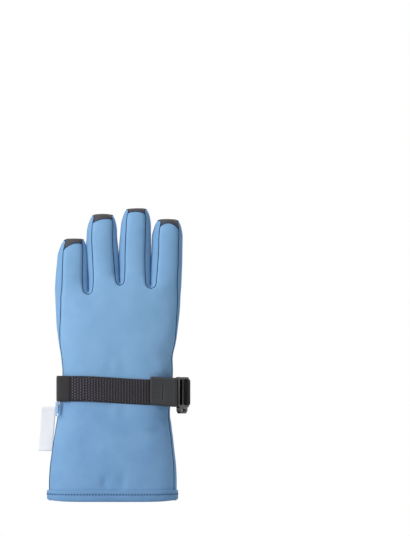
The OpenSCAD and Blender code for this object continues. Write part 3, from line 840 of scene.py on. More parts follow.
# each layer's outer face below the cover's, and its thickness
for layer, material, slot, offset, thick in (
    ("insulation", wadding, "insulation", -1.35, 2.4),
    ("lining", fleece, "lining", -3.95, 0.8),
):
    made = []
    for group, parts in hand_groups.items():
        name = f"{group}_{layer}"
        piece = hand_cut(name + "_layer", parts, material, offset, thick)
        if group in FINGERS:
            bend_with(piece, group, slot, name)
        else:
            place(piece, "hand", slot, name)
        made.append(piece)
    made.append(thumb_cut("thumb_" + layer + "_layer", thumb.names, material, offset, thick))
    place(made[-1], "thumb", slot, "thumb_" + layer)

# ------------------------------------------------------------------ thumb cover
# The thumb's soft-shell back, leather inside and leather cap, cut from its tube and
# sewn together before the thumb is set in.
for name, material, slot in (("thumb_back", blue_back, "softshell"),
                             ("thumb_palm", palm_leather, "palm_leather"),
                             ("thumb_cap", cap_leather, "palm_leather")):
    place(thumb_cut(name + "_cloth", [name], material), "thumb", slot, name)

# ------------------------------------------------------------------ seam thread and shade
# Every long seam is closed with navy polyester thread. The navy cord laid down in
# each crease is partly painted shade: it gives the crease's thin dark line.

# Thread: twisted polyester, slightly silky, drawn thicker than real so that it shows; laid in the
# seams' creases it is partly painted shade.
navy_thread_and_shade = woven("seam_thread_and_shade", "#182c4a", "#27426a", pitch=0.4, sheen=0.05, depth=0.03)
# The seam cord's radius is larger than real thread, partly as painted shade in the crease.
THREAD_RADIUS, THREAD_LIFT = 0.42, 0.1


def sweep(path, section, closed=False):
    """Points and faces of a band: section(k) gives ring points at path index k."""
    verts, faces = [], []
    rings = [section(k) for k in range(len(path))]
    n = len(rings[0])
    for ring in rings:
        verts += ring
    for k in range(len(rings) - (0 if closed else 1)):
        a, b = k * n, ((k + 1) % len(rings)) * n
        for j in range(n):
            faces.append((a + j, a + (j + 1) % n, b + (j + 1) % n, b + j))
    if not closed:
        faces.append(tuple(reversed(range(n))))
        faces.append(tuple(range((len(rings) - 1) * n, len(rings) * n)))
    return verts, faces


def fix_normals(piece):
    bm = bmesh.new()
    bm.from_mesh(piece.data)
    bmesh.ops.recalc_face_normals(bm, faces=bm.faces)
    bm.to_mesh(piece.data)
    bm.free()
    return piece


def thin_line(points, radius, sides=6):
    """A round cord of the given radius along a list of points, as points and faces."""
    p = np.array(points, float)
    t = np.gradient(p, axis=0)
    t /= np.maximum(np.linalg.norm(t, axis=1, keepdims=True), 1e-9)
    up = np.array([0.0, 0.0, 1.0])
    if abs(t[0] @ up) > 0.9:
        up = np.array([0.0, 1.0, 0.0])
    rings = []
    side = np.cross(t[0], up)
    side /= np.linalg.norm(side)
    for k in range(len(p)):
        side = side - t[k] * (side @ t[k])
        side /= max(np.linalg.norm(side), 1e-9)
        other = np.cross(t[k], side)
        rings.append([
            tuple(p[k] + radius * (math.cos(a) * side + math.sin(a) * other))
            for a in (2 * math.pi * j / sides for j in range(sides))
        ])
    return sweep(p, lambda k: rings[k])


def join_parts(parts):
    verts, faces = [], []
    for v, f in parts:
        base = len(verts)
        verts += list(v)
        faces += [tuple(i + base for i in face) for face in f]
    return verts, faces


def seam_runs(skin, co, faces, part, wanted):
    """Edges between two different wanted kinds of part, chained into runs of points."""
    sides = {}
    for f, n in zip(faces, part):
        for a, b in zip(f, f[1:] + f[:1]):
            sides.setdefault((min(a, b), max(a, b)), []).append(skin.names[n])
    links = {}
    for (a, b), pair in sides.items():
        if len(pair) == 2 and wanted(*pair):
            links.setdefault(a, []).append(b)
            links.setdefault(b, []).append(a)
    runs, used = [], set()
    for start in sorted(links, key=lambda v: (len(links[v]) != 1, v)):
        for step in links[start]:
            if (start, step) in used:
                continue
            run, here, nxt = [start], start, step
            while nxt is not None and (here, nxt) not in used:
                used.update(((here, nxt), (nxt, here)))
                run.append(nxt)
                ahead = [v for v in links[nxt] if (nxt, v) not in used]
                here, nxt = nxt, ahead[0] if len(ahead) == 1 and len(links[nxt]) == 2 else None
            runs.append(run)
    return runs


def is_seam(a, b):
    kinds = {a.split("_")[0] + a.split("_")[-1], b.split("_")[0] + b.split("_")[-1]}
    if len(kinds) < 2:
        return False
    across = {a, b}
    if across <= {"gauntlet_back", "back_of_hand"} or across <= {"gauntlet_palm", "palm_panel"}:
        return False
    sided = [n for n in (a, b) if "side" in n or "web" in n]
    faced = [n for n in (a, b) if "back" in n or "palm" in n]
    capped = [n for n in (a, b) if "cap" in n]
    return (len(sided) == 1 and len(faced) == 1) or len(capped) == 1


def group_of(a, b):
    for finger in FINGERS:
        if a.startswith(finger) or b.startswith(finger):
            return finger
    return "hand"


# Navy cords along the seams: real thread, and partly painted shade of the creases.
def thread_and_shade_piece(name, co, normals, runs):
    lines = [thin_line([co[v] + normals[v] * THREAD_LIFT for v in run], THREAD_RADIUS)
             for run in runs if len(run) > 2]
    return fix_normals(new_piece(name, *join_parts(lines), navy_thread_and_shade))


for group in ("hand", *FINGERS):
    runs = seam_runs(shell, hand_co, hand_faces, hand_part,
                     lambda a, b: is_seam(a, b) and group_of(a, b) == group)
    piece = thread_and_shade_piece(f"seam_thread_and_shade_{group}", hand_co, hand_normals, runs)
    if group == "hand":
        place(piece, "hand", "softshell_side")
    else:
        bend_with(piece, group, "softshell_side")
runs = seam_runs(thumb, thumb_co, thumb_faces, thumb_part, lambda a, b: a != b)
place(thread_and_shade_piece("seam_thread_and_shade_thumb", thumb_co, thumb_normals, runs), "thumb",
      "softshell_side")

# ------------------------------------------------------------------- hem binding
# A folded band of the shell cloth round the mouth, turned in over the lining and
# stitched once round with the navy thread.

# Hem cloth: the same soft-shell, folded double; its darker tone is painted shade at the foot of
# the cuff.
hem_blue_painted_shade = woven("hem_blue_painted_shade", "#5f8ab6", "#7da6ce")


def outline(z, offset, count=240):
    """Points and outward directions round the shell at height z, from the right side."""
    c, a, b, p = hand_shape(z)
    out = []
    for k in range(count):
        angle = 2 * math.pi * k / count
        s, co = math.sin(angle), math.cos(angle)
        lo, hi = 0.0, 2 * max(a, b)
        for _ in range(40):
            m = (lo + hi) / 2
            if abs(m * co / a) ** p + abs(m * s / b) ** 2 < 1:
                lo = m
            else:
                hi = m
        x, y = lo * co, lo * s
        gx = p * abs(x / a) ** (p - 1) / a * (1 if x >= 0 else -1)
        gy = 2 * y / b**2
        g = math.hypot(gx, gy)
        out.append((c + x, y, gx / g, gy / g))
    # even spacing round the ring
    pts = np.array(out)
    closed = np.vstack([pts, pts[:1]])
    step = np.hypot(*(np.diff(closed[:, :2], axis=0)).T)
    along = np.concatenate([[0], np.cumsum(step)])
    want = np.linspace(0, along[-1], count, endpoint=False)
    res = np.stack([np.interp(want, along, closed[:, m]) for m in range(4)], axis=1)
    res[:, 2:] /= np.linalg.norm(res[:, 2:], axis=1, keepdims=True)
    res[:, :2] += res[:, 2:] * offset
    return res, along[-1]


HEM_POINTS = 360
ring_lo, hem_length = outline(6.0, 0.0, HEM_POINTS)
hem_section = ((-5.6, 11.6), (-5.7, 5.0), (-5.5, 1.6), (-4.6, 0.4), (-2.0, 0.0), (-0.4, 0.0),
               (0.7, 0.5), (1.35, 1.9), (1.45, 5.0), (1.15, 7.2), (1.5, 9.3), (1.35, 11.2),
               (0.9, 11.9), (0.0, 12.0), (-0.8, 11.0), (-1.2, 6.0), (-1.5, 4.0), (-3.0, 2.5),
               (-4.6, 4.0), (-5.0, 11.2))


def hem_lift(x, z):
    """The hem rises a little at the two edges of the glove, most at the mouth."""
    return 2.3 * abs(x / 64.0) ** 6 * (1 - z / 13)


def hem_ring(k):
    x, y, nx, ny = ring_lo[k]
    slack = 0.25 * noise.noise(Vector((x / 9, y / 9, 0)))
    return [(x + nx * (o + slack * (o > 0)), y + ny * (o + slack * (o > 0)),
             z + hem_lift(x, z)) for o, z in hem_section]


hem = fix_normals(new_piece("hem_band", *sweep(ring_lo, hem_ring, closed=True), hem_blue_painted_shade))
place(hem, "hand", "softshell_side", "hem_binding")


def stitch(centre, along, out, length, width):
    """One thread: a short rounded bar lying on the cloth."""
    c, t, n = (np.array(v, float) for v in (centre, along, out))
    b = np.cross(t, n)
    verts, faces = [], []
    for s, r in ((-0.5, 0.35), (-0.36, 0.85), (0, 1.0), (0.36, 0.85), (0.5, 0.35)):
        for j in range(6):
            a = 2 * math.pi * j / 6
            verts.append(tuple(c + t * s * length + (n * math.cos(a) * 0.6 + b * math.sin(a))
                               * width * r / 2))
    for k in range(4):
        for j in range(6):
            faces.append((6 * k + j, 6 * k + (j + 1) % 6, 6 * k + 6 + (j + 1) % 6, 6 * k + 6 + j))
    faces += [tuple(reversed(range(6))), tuple(range(24, 30))]
    return verts, faces


STITCH_PITCH, STITCH_Z = 3.0, 7.2
count = int(hem_length / STITCH_PITCH)
parts = []
for k in range(count):
    pos = k * HEM_POINTS / count
    j = int(pos) % HEM_POINTS
    x, y, nx, ny = ring_lo[j] + (ring_lo[(j + 1) % HEM_POINTS] - ring_lo[j]) * (pos - int(pos))
    parts.append(stitch((x + nx * 1.42, y + ny * 1.42, STITCH_Z + hem_lift(x, STITCH_Z)),
                        (-ny, nx, 0.4), (nx, ny, 0), 1.7, 1.0))
place(fix_normals(new_piece("hem_stitches", *join_parts(parts), navy_thread_and_shade)), "hand",
      "softshell_side")

# ---------------------------------------------------------------- wrist elastic
# A knitted elastic band between shell and wadding, sewn down stretched, that draws
# the wrist in.


def ribbed(name, dark, light, rib, pick, roughness=0.7, depth=0.3, shine=0.1):
    """Webbing in its own UVs, in metres: ribs along u, and the picks that cross them."""
    material, tree, shader = new_material(name, roughness, shine, specular=0.35)
    ribs = node(tree, "TexWave", {"Vector": coords(tree, uv=True),
                                  "Scale": wave_scale(rib), "Distortion": 0.3},
                wave_type="BANDS", bands_direction="X")
    picks = node(tree, "TexWave", {"Vector": coords(tree, uv=True),
                                   "Scale": wave_scale(pick), "Distortion": 0.5},
                 wave_type="BANDS", bands_direction="Y")
    raised = node(tree, "Math", {0: ribs.outputs["Fac"], 1: picks.outputs["Fac"]},
                  operation="MULTIPLY")
    fuzz = node(tree, "TexNoise", {"Vector": coords(tree, uv=True), "Scale": 900.0, "Detail": 3.0})
    tone = node(tree, "Math", {0: fuzz.outputs["Fac"], 1: 0.3, 2: raised.outputs["Value"]},
                operation="MULTIPLY_ADD")
    set_colour(tree, shader, two_tone(tree, tone.outputs["Value"], dark, light))
    set_bump(tree, shader, tone.outputs["Value"], depth * MM, 0.8)
    return material


# Elastic: black knitted polyester over rubber threads, ribbed along its length.
elastic_knit = ribbed("elastic_knit", "#1d1d20", "#3b3b40", 2.0, 0.9)
ELASTIC_POINTS = 200
band, length = outline(113.0, -1.25, ELASTIC_POINTS)
elastic_section = ((0, 104.5), (0, 113), (0, 121.5), (-0.3, 122), (-0.6, 121.5), (-0.6, 113),
                   (-0.6, 104.5), (-0.3, 104))


def elastic_ring(k):
    x, y, nx, ny = band[k]
    w = 0.18 * math.sin(k * 0.9)
    return [(x + nx * (o + w), y + ny * (o + w), z) for o, z in elastic_section]


verts, faces = sweep(band, elastic_ring, closed=True)
uvs = [((k // len(elastic_section)) * length / ELASTIC_POINTS * MM, v[2] * MM)
       for k, v in enumerate(verts)]
place(fix_normals(new_piece("wrist_elastic_band", verts, faces, elastic_knit, uvs)), "hand",
      "elastic", "wrist_elastic")

# ------------------------------------------------------------------- wrist strap
# Ribbed polyester webbing from the buckle side, over the back and round the
# little-finger side to the palm, dropping a little towards the buckle. Paler threads
# are worked over its ribs, and a folded keeper holds it at the left edge.

def webbing(name, path, material, half, thick, middle_z, rib=0.0, waves=0.0, ends=0.0):
    """A band along (x, y, nx, ny) points: flat faces, rounded edges, optional ribs."""
    steps = np.concatenate([[0], np.cumsum(np.hypot(*np.diff(path[:, :2], axis=0).T))])
    cross = [(-1, 0.0), (-0.985, 0.5), (-0.94, 0.88), (-0.8, 1.0), (-0.4, 1.0), (0, 1.0),
             (0.4, 1.0), (0.8, 1.0), (0.94, 0.88), (0.985, 0.5), (1, 0.0), (0.97, -0.6),
             (0.8, -1.0), (0, -1.0), (-0.8, -1.0), (-0.97, -0.6)]

    def section(k):
        x, y, nx, ny = path[k]
        s = steps[k]
        zc = middle_z(x, y)
        e = 1.0
        if ends:
            e = math.sqrt(min(1.0, 1 - (1 - min(min(s, steps[-1] - s) / ends, 1.0)) ** 2) + 0.05)
            e = min(e, 1.0)
        out = []
        for h, t in cross:
            o = t * thick / 2
            if t > 0.8 and rib:
                o += waves * (abs(math.sin(math.pi * s / rib)) - 0.5)
            out.append((x + nx * o, y + ny * o, zc + h * half * mix(0.86, 1.0, e)))
        return out

    verts, faces = sweep(path, section)
    n = len(cross)
    uvs = [(steps[k // n] * MM, (v[2] - 100) * MM) for k, v in enumerate(verts)]
    return fix_normals(new_piece(name, verts, faces, material, uvs))


# Strap webbing: black polyester, woven with a rib every few millimetres.
strap_web = ribbed("strap_webbing", "#0e0c10", "#28252c", 2.8, 1.15, depth=0.35)
# Plain webbing: the same yarn, woven flat and fine.
plain_web = ribbed("plain_webbing", "#121014", "#242126", 1.5, 0.7, depth=0.15)
# Strap thread: grey polyester, matt.
thread_grey = woven("strap_thread", "#4c4854", "#726d7a", pitch=0.4, sheen=0.1, depth=0.02)

WRIST_Z, WRIST_POINTS = 112.0, 720
STRAP_Z, BUCKLE_Z = 113.25, 109.75
STRAP_HALF, STRAP_THICK, RIB = 12.75, 1.8, 2.8
FAR = 99


def strap_z(x, y):
    """The height of the strap's middle line, which sinks towards the buckle."""
    return mix(STRAP_Z, BUCKLE_Z, smooth((x + 36) / 78))


def walk(offset, start, stop):
    """The wrist's outline between the points that start and stop rate nearest, taken
    from the forefinger's side over the back, so against the outline's own order."""
    ring, _ = outline(WRIST_Z, offset, WRIST_POINTS)
    k, last = (int(np.argmin([rate(x, y) for x, y, _, _ in ring])) for rate in (start, stop))
    order = []
    while k != last:
        order.append(k)
        k = (k - 1) % WRIST_POINTS
    return ring[order]


path = walk(1.25, lambda x, y: abs(x - 58.5) + (0 if y < -8 else FAR),
            lambda x, y: abs(x - 19.6) + (0 if y > 8 else FAR))
strap = webbing("strap_band", path, strap_web, STRAP_HALF, STRAP_THICK, strap_z, RIB, 0.22)
place(strap, "hand", "webbing", "wrist_strap")

# the worked threads lie closer together to the right
THREADS_LEFT, THREADS_RIGHT = -42.5, 36.5
parts = []
steps = np.concatenate([[0], np.cumsum(np.hypot(*np.diff(path[:, :2], axis=0).T))])
s, turn = 1.4, False
while s < steps[-1] - 2:
    x, y, nx, ny = (np.interp(s, steps, path[:, m]) for m in range(4))
    if y < 0 and THREADS_LEFT < x < THREADS_RIGHT:
        near = smooth((x + 34) / 40)
        pitch = mix(2.75, 2.1, near)
        rows = int(2 * (STRAP_HALF - 1.9) / pitch)
        for r in range(rows + 1):
            z = strap_z(x, y) + (r - rows / 2 + (0.25 if turn else -0.25)) * pitch
            parts.append(stitch((x + nx * 1.05, y + ny * 1.05, z), (0.22, 0, 1), (nx, ny, 0),
                                pitch * 0.6, mix(1.15, 0.65, near)))
    turn = not turn
    s += RIB
place(new_piece("strap_stitches", *join_parts(parts), thread_grey), "hand", "webbing")

keeper = webbing("keeper_band",
                 walk(3.3, lambda x, y: abs(x + 43.2) + (0 if y < -8 else FAR),
                      lambda x, y: abs(y - 0.2) + (0 if x < 0 else FAR)),
                 plain_web, 13.0, 1.2, lambda x, y: STRAP_Z, ends=2.5)
place(keeper, "hand", "webbing", "strap_keeper")

# ------------------------------------------------------------------------ buckle
# A glossy ladder buckle moulded in one with its two bars, set on edge at the
# forefinger side. A loop of plain webbing anchors it to the palm, the strap's end
# turns back through it, and a hook for the pair hangs under it.

def moulded(name, dark, light, roughness=0.3, coat=0.3, grain=1500, depth=0.02):
    """Moulded plastic or rubber with a faint tooled grain and scuffed tone."""
    material, tree, shader = new_material(name, roughness, coat=coat)
    tooled = node(tree, "TexNoise", {"Vector": coords(tree), "Scale": float(grain), "Detail": 3.0})
    scuff = node(tree, "TexNoise", {"Vector": coords(tree), "Scale": 110.0, "Detail": 6.0,
                                    "Roughness": 0.7})
    set_colour(tree, shader, two_tone(tree, scuff.outputs["Fac"], dark, light))
    rough = node(tree, "MapRange", {"Value": scuff.outputs["Fac"], "To Min": roughness - 0.05,
                                    "To Max": roughness + 0.12})
    tree.links.new(rough.outputs["Result"], shader.inputs["Roughness"])
    set_bump(tree, shader, tooled.outputs["Fac"], depth * MM, 0.5)
    return material


# Buckle plastic: black acetal, injection moulded, with a hard gloss.
gloss_black = moulded("gloss_black", "#0d0e10", "#1b1c20", roughness=0.22, coat=0.6)
# the buckle's front edge seen from above, and the way it runs back from there
FRONT, UX, UY = (63.0, -17.2), 0.5388, 0.8425


def buckle_point(a, t, h):
    """a along the buckle from its front edge, t outward, h up from its middle."""
    return (FRONT[0] + UX * a + UY * t, FRONT[1] + UY * a - UX * t, BUCKLE_Z + h)


anchor_x = node_box("anchor_loop")[0][0]
anchor_path = [tuple(p) for p in walk(
    1.3, lambda x, y: abs(x - anchor_x) + (0 if y > 8 else FAR),
    lambda x, y: abs(y - 6.0) + (0 if x > 0 else FAR))]
bar = buckle_point(19.0, 1.3, 0)[:2]
x, y, nx, ny = anchor_path[-1]
for s in (0.35, 0.7):
    px, py = mix(x, bar[0] - 0.6, s), mix(y, bar[1] + 3.0, s)
    anchor_path.append((px, py, mix(nx, 0.35, s), mix(ny, 0.93, s)))
for angle in range(100, -150, -25):
    dx, dy = math.cos(math.radians(angle)), math.sin(math.radians(angle))
    anchor_path.append((bar[0] + 2.9 * dx, bar[1] + 2.9 * dy, dx, dy))
anchor = webbing("anchor_band", np.array(anchor_path), plain_web, 12.6, 1.3,
                 lambda x, y: mix(111.2, BUCKLE_Z, smooth((x - 30) / 30)))
place(anchor, "hand", "webbing", "anchor_loop")


def rounded_outline(a0, a1, h0, h1, r, n=6):
    pts = []
    for ca, ch, start in ((a1 - r, h1 - r, 0), (a0 + r, h1 - r, 90), (a0 + r, h0 + r, 180),
                          (a1 - r, h0 + r, 270)):
        for j in range(n + 1):
            w = math.radians(start + 90 * j / n)
            pts.append((ca + r * math.cos(w), ch + r * math.sin(w)))
    return pts


def apply_modifiers(piece):
    bpy.context.view_layer.objects.active = piece
    piece.select_set(True)
    for m in list(piece.modifiers):
        bpy.ops.object.modifier_apply(modifier=m.name)
    piece.select_set(False)
    return piece


def bevel(piece, width, segments=3, angle=30):
    m = piece.modifiers.new("edge", "BEVEL")
    m.width = width * MM
    m.segments = segments
    m.limit_method = "ANGLE"
    m.angle_limit = math.radians(angle)
    m.harden_normals = False
    return apply_modifiers(piece)


def buckle_plate(name, outer, windows, t0, t1, edge, material):
    """A plate in the buckle's plane with rounded windows, its edges rounded over."""
    bm = bmesh.new()
    loops = [outer] + windows
    edges = []
    for loop in loops:
        vs = [bm.verts.new(frame_point(buckle_point(a, t0, h))) for a, h in loop]
        edges += [bm.edges.new((vs[k], vs[(k + 1) % len(vs)])) for k in range(len(vs))]
    bmesh.ops.triangle_fill(bm, use_beauty=True, use_dissolve=True, edges=edges)
    top = bmesh.ops.extrude_face_region(bm, geom=list(bm.faces))
    moved = [g for g in top["geom"] if isinstance(g, bmesh.types.BMVert)]
    shift = Vector((UY * (t1 - t0) * MM, -UX * (t1 - t0) * MM, 0))
    bmesh.ops.translate(bm, verts=moved, vec=shift)
    bmesh.ops.recalc_face_normals(bm, faces=bm.faces)
    mesh = bpy.data.meshes.new(name)
    bm.to_mesh(mesh)
    bm.free()
    mesh.polygons.foreach_set("use_smooth", [True] * len(mesh.polygons))
    mesh.materials.append(material)
    piece = bpy.data.objects.new(name, mesh)
    bpy.context.scene.collection.objects.link(piece)
    return bevel(piece, edge, 3, 40)


buckle = buckle_plate(
    "buckle_body", rounded_outline(0.2, 21.0, -15.4, 15.4, 3.4),
    [rounded_outline(3.0, 8.2, -12.9, 12.9, 1.6), rounded_outline(11.2, 17.2, -12.9, 12.9, 1.6)],
    -0.9, 3.4, 0.9, gloss_black)
place(buckle, "buckle", "buckle_plastic", "buckle_frame")

hook = buckle_plate(
    "pairing_hook_body",
    [(2.6, -14.8), (2.6, -18.6), (5.0, -21.3), (14.6, -21.3), (17.6, -18.4), (17.6, -14.8)],
    [rounded_outline(7.0, 13.4, -19.4, -16.9, 1.0)], -0.7, 3.2, 0.6, gloss_black)
place(hook, "buckle", "buckle_plastic", "pairing_hook")

bight = [(59.5, -17.9, 0.1, -1.0)]
for a, t in ((0.5, -1.9), (3.0, -1.7), (6.0, -0.6)):
    p = buckle_point(a, t, 0)
    bight.append((p[0], p[1], UY, -UX))
for angle in range(-80, 100, 30):
    w = math.radians(angle)
    a, t = 9.7 + 2.9 * math.cos(w), 1.3 + 3.1 * math.sin(w)
    p = buckle_point(a, t, 0)
    n = (UX * math.cos(w) + UY * math.sin(w), UY * math.cos(w) - UX * math.sin(w))
    # the webbing's outer face turns with it round the middle bar
    bight.append((p[0], p[1], -n[0], -n[1]))
bight_piece = webbing("bight_band", np.array(bight), plain_web, 12.4, 1.2,
                      lambda x, y: BUCKLE_Z)
place(bight_piece, "buckle", "webbing", "strap_bight")

tail_lo, tail_hi = node_box("strap_tail")
tail = np.array([(mix(tail_lo[0], tail_hi[0] + 1.0, k / 12),
                  (tail_lo[1] + tail_hi[1]) / 2, 0.0, -1.0) for k in range(13)])
place(webbing("tail_band", tail, plain_web, 12.5, 1.2, lambda x, y: BUCKLE_Z), "strap_end",
      "webbing", "strap_tail")

# ---------------------------------------------------------------------- pull tab
# A slab of soft rubber moulded on the webbing's end to be pulled with a gloved hand:
# rounded edges, one cross groove, and a bare sunk field.

# Tab rubber: black thermoplastic rubber, moulded, nearly matt.
tab_rubber = moulded("tab_rubber", "#18191c", "#232428", roughness=0.55, coat=0.05, depth=0.05)
tab_lo, tab_hi = node_box("pull_tab")
TAB_WIDE, TAB_TALL = 27.0, 29.0


def tab_depth(u, v, x, z):
    """How far out the face stands at x, z, less its rounded border."""
    edge = min(u, 1 - u) * TAB_WIDE, min(v, 1 - v) * TAB_TALL
    drop = sum(max(0.0, 1 - e / 1.6) ** 2 * 1.1 for e in edge)
    groove = math.exp(-(((x - 50.6) / 0.62) ** 4)) if 101.5 < z < 118.2 else 0.0
    field = (smooth((x - 40.4) / 0.8) - smooth((x - 48.4) / 0.8)) * (
        smooth((z - 102.0) / 0.8) - smooth((z - 117.2) / 0.8))
    lip = math.exp(-(((x - 62.2) / 0.7) ** 2))
    return drop + 0.85 * groove + 0.3 * field - 0.25 * lip


def tab_point(side, u, v):
    x = mix(tab_lo[0], tab_hi[0], u)
    slope = -1.6 * smooth(u)
    z = mix(tab_lo[2] + 1.9, tab_hi[2], v) + slope * (1 - v * 0.4) + 0.8 * (1 - smooth(u)) * 0.2
    z -= 1.3 * (max(0.0, 1 - u * TAB_WIDE / 2.4) ** 2) * (2 * v - 1)
    return x, tab_hi[1] if side else tab_lo[1] + tab_depth(u, v, x, z), z


def two_faced(rows, cols, point):
    """A closed slab: two grids of point(side, u, v), and the edge between them."""
    verts = [point(side, c / cols, r / rows)
             for side in (0, 1) for r in range(rows + 1) for c in range(cols + 1)]
    w, n = cols + 1, (rows + 1) * (cols + 1)
    faces = []
    for r in range(rows):
        for c in range(cols):
            a = r * w + c
            faces.append((a, a + 1, a + w + 1, a + w))
            faces.append((a + n + w, a + n + w + 1, a + n + 1, a + n))
    rim = [*range(w), *(r * w + cols for r in range(1, rows + 1)),
           *(rows * w + c for c in range(cols - 1, -1, -1)),
           *(r * w for r in range(rows - 1, 0, -1))]
    faces += [(b, a, a + n, b + n) for a, b in zip(rim, rim[1:] + rim[:1])]
    return verts, faces


place(fix_normals(new_piece("tab_slab", *two_faced(40, 54, tab_point), tab_rubber)),
      "strap_end", "tab_rubber", "pull_tab")

# -------------------------------------------------------------------- palm patch
# A second layer of coarse-grained leather over the heel of the palm, where a ski
# pole wears it, sewn down round its edge.

# Grip leather: as the palm's, thicker, with a coarser grain.
grip_leather = leather("grip_leather", "#252327", "#3a373b", scale=420, depth=0.28)
patch_lo, patch_hi = node_box("palm_patch")


def patch_point(side, u, v):
    u, v = 2 * u - 1, 2 * v - 1
    # a square with rounded corners, a little narrower at its foot
    k = 1 - 0.06 * (u * u * v * v)
    x = mix(patch_lo[0] + 1, patch_hi[0] - 1, (u * k * mix(1.0, 0.93, (1 - v) / 2) + 1) / 2)
    z = mix(patch_lo[2] + 1, patch_hi[2] - 1, (v * k + 1) / 2)
    rim_in = max(abs(u), abs(v))
    puff = 1.5 * math.sqrt(max(0.0, 1 - rim_in**10)) + 0.1
    if abs(rim_in - 0.9) < 0.03:
        puff -= 0.3
    return x, hand_point(PALM, x, z)[1] + (puff if side else -0.6), z


place(fix_normals(new_piece("palm_patch_leather", *two_faced(40, 34, patch_point),
                            grip_leather)), "hand", "grip_leather", "palm_patch")

# ------------------------------------------------------------------ thumb gusset
# A ring of leather set into the palm, gathered a little, and the collar of the same
# leather round the thumb's root that turns on it.
RING = 72
gusset_levels = ((14.6, 23.0), (16.6, 22.0), (18.2, 19.6), (20.0, 17.9), (22.0, 16.9),
                 (23.6, 16.5), (23.6, 13.5), (20.0, 13.6), (15.6, 14.5))
collar_levels = ((0.1, 15.0), (0.2, 16.3), (1.6, 17.0), (4.0, 16.9), (6.5, 16.0), (9.0, 14.2),
                 (9.0, 12.5), (2.0, 13.5))


def round_ring(k, levels, base, pucker):
    """The points of one step round the thumb's root, from (depth, radius) levels."""
    a = 2 * math.pi * k / RING
    p = 1 + pucker * math.sin(9 * a)
    return [(THUMB_X + r * p * math.cos(a), base + y, THUMB_Z + r * p * math.sin(a))
            for y, r in levels]


for name, body, levels, base, pucker, node_name in (
    ("thumb_gusset_leather", "hand", gusset_levels, 0.0, 0.012, "thumb_gusset"),
    ("thumb_collar_leather", "thumb", collar_levels, THUMB_Y0, 0.0, None),
):
    verts, faces = sweep(range(RING), lambda k: round_ring(k, levels, base, pucker), closed=True)
    place(fix_normals(new_piece(name, verts, faces, palm_leather)), body, "palm_leather",
          node_name)

# -------------------------------------------------------------------- care label
# A narrow white satin ribbon label caught in the side seam along one edge, blank,
# with its loose edge out and a slight curl.

# Label satin: smooth white polyester satin with a low sheen.
satin = woven("label_satin", "#e4e5e8", "#f7f7f8", pitch=0.45, roughness=0.45, sheen=0.2,
              depth=0.02)
label_lo, label_hi = node_box("care_label")
LABEL_ROOT, LABEL_WIDE, LABEL_THICK = -58.2, 14.6, 0.3


def label_point(side, u, v):
    root = LABEL_ROOT + 3.6 * (v - 0.5)
    curl = 0.55 * math.sin(2.6 * v + 1.2 * u) * u * u + 0.12 * math.sin(9 * v) * u
    return (mix(root, root - LABEL_WIDE, u), 0.2 + curl + (side - 0.5) * LABEL_THICK,
            mix(label_lo[2], label_hi[2], v))


label = fix_normals(new_piece("label_satin_sheet", *two_faced(30, 12, label_point), satin))
place(label, "label", "label_satin", "care_label")

# ------------------------------------------------------------------ pairing loop
# A short light-blue loop of narrow webbing sewn in under the strap's left end, with
# a small moulded clip in it, for hanging the pair together.

# Loop webbing: light blue polyester tape, fine and flat.
loop_web = ribbed("loop_webbing", "#7aa7d2", "#a6c8e8", 1.2, 0.6, depth=0.12)
# Clip plastic: light blue acetal, moulded, half matt.
pale_plastic = moulded("pale_plastic", "#8fb4d8", "#a9c8e6", roughness=0.4, coat=0.1)
loop_lo, loop_hi = node_box("pairing_loop")
clip_lo, clip_hi = node_box("pairing_clip")
cx, cy = (loop_lo[0] + loop_hi[0]) / 2, (loop_lo[1] + loop_hi[1]) / 2
# the way across the loop, seen from above
ax, ay = -0.5, 0.866
FOLD = 0.55


def loop_frame(s, o, z):
    """s across the loop, o outward from the glove."""
    return (cx + ax * s - ay * o, cy + ay * s + ax * o, z)


top, bottom = loop_hi[2], clip_hi[2] - 1.6
profile = [(-FOLD, mix(top, bottom + 1.1, k / 8)) for k in range(9)]
for k in range(1, 8):
    a = math.pi * k / 8
    profile.append((-FOLD * math.cos(a), bottom + 1.1 - 1.1 * math.sin(a)))
profile += [(FOLD, mix(bottom + 1.1, top, k / 8)) for k in range(9)]


def loop_ring(k):
    o, z = profile[k]
    a, b = profile[max(k - 1, 0)], profile[min(k + 1, len(profile) - 1)]
    tx, tz = b[0] - a[0], b[1] - a[1]
    m = max(math.hypot(tx, tz), 1e-9)
    nx, nz = tz / m, -tx / m
    return [loop_frame(s, o + nx * t, z + nz * t)
            for s, t in ((-2.3, 0), (-2.1, 0.22), (0, 0.25), (2.1, 0.22), (2.3, 0),
                         (2.1, -0.22), (0, -0.25), (-2.1, -0.22))]


verts, faces = sweep(profile, loop_ring)
uvs = [((k % 8) * 0.6 * MM, v[2] * MM) for k, v in enumerate(verts)]
place(fix_normals(new_piece("pairing_loop_band", verts, faces, loop_web, uvs)), "pairing_loop",
      "loop_webbing", "pairing_loop")

# the clip is open at the bottom like a hook
clip_z = (clip_lo[2] + clip_hi[2]) / 2
ring_pts = []
for k in range(33):
    a = math.radians(-60 + 300 * k / 32)
    ring_pts.append(loop_frame(2.35 * math.cos(a), 0, clip_z + 1.85 * math.sin(a)))
place(fix_normals(new_piece("pairing_clip_ring", *thin_line(ring_pts, 0.62, 10),
                            pale_plastic)), "pairing_loop", "buckle_plastic", "pairing_clip")

# ------------------------------------------------------------------------- stage
# A plain pale floor, a bright soft surround, and light from the upper left.
bpy.ops.mesh.primitive_plane_add(size=6, location=(0, 0, -0.0005))
floor = bpy.context.object
floor.name = "floor"
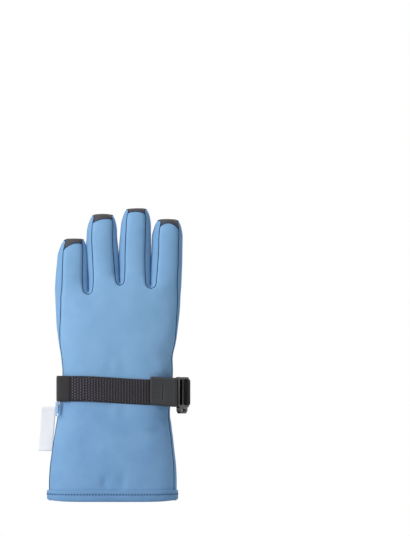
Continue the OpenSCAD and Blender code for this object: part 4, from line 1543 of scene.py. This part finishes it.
# Paper: matt white card.
paper, tree, shader = new_material("paper_white", 0.9)
tone = node(tree, "TexNoise", {"Vector": coords(tree), "Scale": 3.0})
set_colour(tree, shader, two_tone(tree, tone.outputs["Fac"], "#f6f6f6", "#fbfbfb"))
floor.data.materials.append(paper)
floor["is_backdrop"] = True

scene = bpy.context.scene
world = bpy.data.worlds.new("studio")
scene.world = world
world.use_nodes = True
tree = world.node_tree
tree.nodes.clear()
seen = node(tree, "Background", {"Color": (1, 1, 1, 1), "Strength": 1.0})
fill = node(tree, "Background", {"Color": (0.97, 0.985, 1.0, 1), "Strength": 0.33})
ray = node(tree, "LightPath")
plain = node(tree, "Math", {0: ray.outputs["Is Camera Ray"], 1: ray.outputs["Is Glossy Ray"]},
             operation="MAXIMUM")
white = node(tree, "Math", {0: plain.outputs["Value"], 1: ray.outputs["Is Transmission Ray"]},
             operation="MAXIMUM")
choose = node(tree, "MixShader", {0: white.outputs["Value"], 1: fill.outputs["Background"],
                                  2: seen.outputs["Background"]})
node(tree, "OutputWorld", {"Surface": choose.outputs["Shader"]})


def soft_light(name, position, target, size, watts):
    data = bpy.data.lights.new(name, "AREA")
    data.shape = "SQUARE"
    data.size = size
    data.energy = watts
    lamp = bpy.data.objects.new(name, data)
    lamp.location = position
    lamp.rotation_euler = (Vector(target) - Vector(position)).to_track_quat("-Z", "Y").to_euler()
    scene.collection.objects.link(lamp)


lo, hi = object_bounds()
centre = (lo + hi) / 2
soft_light("key", (-1.0, -0.8, 0.62), centre, 0.5, 10.4)
soft_light("top", (-0.2, -0.35, 1.2), centre, 0.8, 4.0)
soft_light("back_fill", (0.6, 1.1, 0.7), centre, 0.8, 6.0)

# straight on to the back of the hand, with no perspective
camera_data = bpy.data.cameras.new("camera")
camera_data.type = "ORTHO"
camera_data.ortho_scale = 0.536
camera_data.clip_end = 10
camera = bpy.data.objects.new("camera", camera_data)
camera.location = (OX + 0.0925, OY - 1.5, 0.234)
camera.rotation_euler = (math.radians(90), 0, 0)
scene.collection.objects.link(camera)
scene.camera = camera
scene.view_settings.view_transform = "Standard"
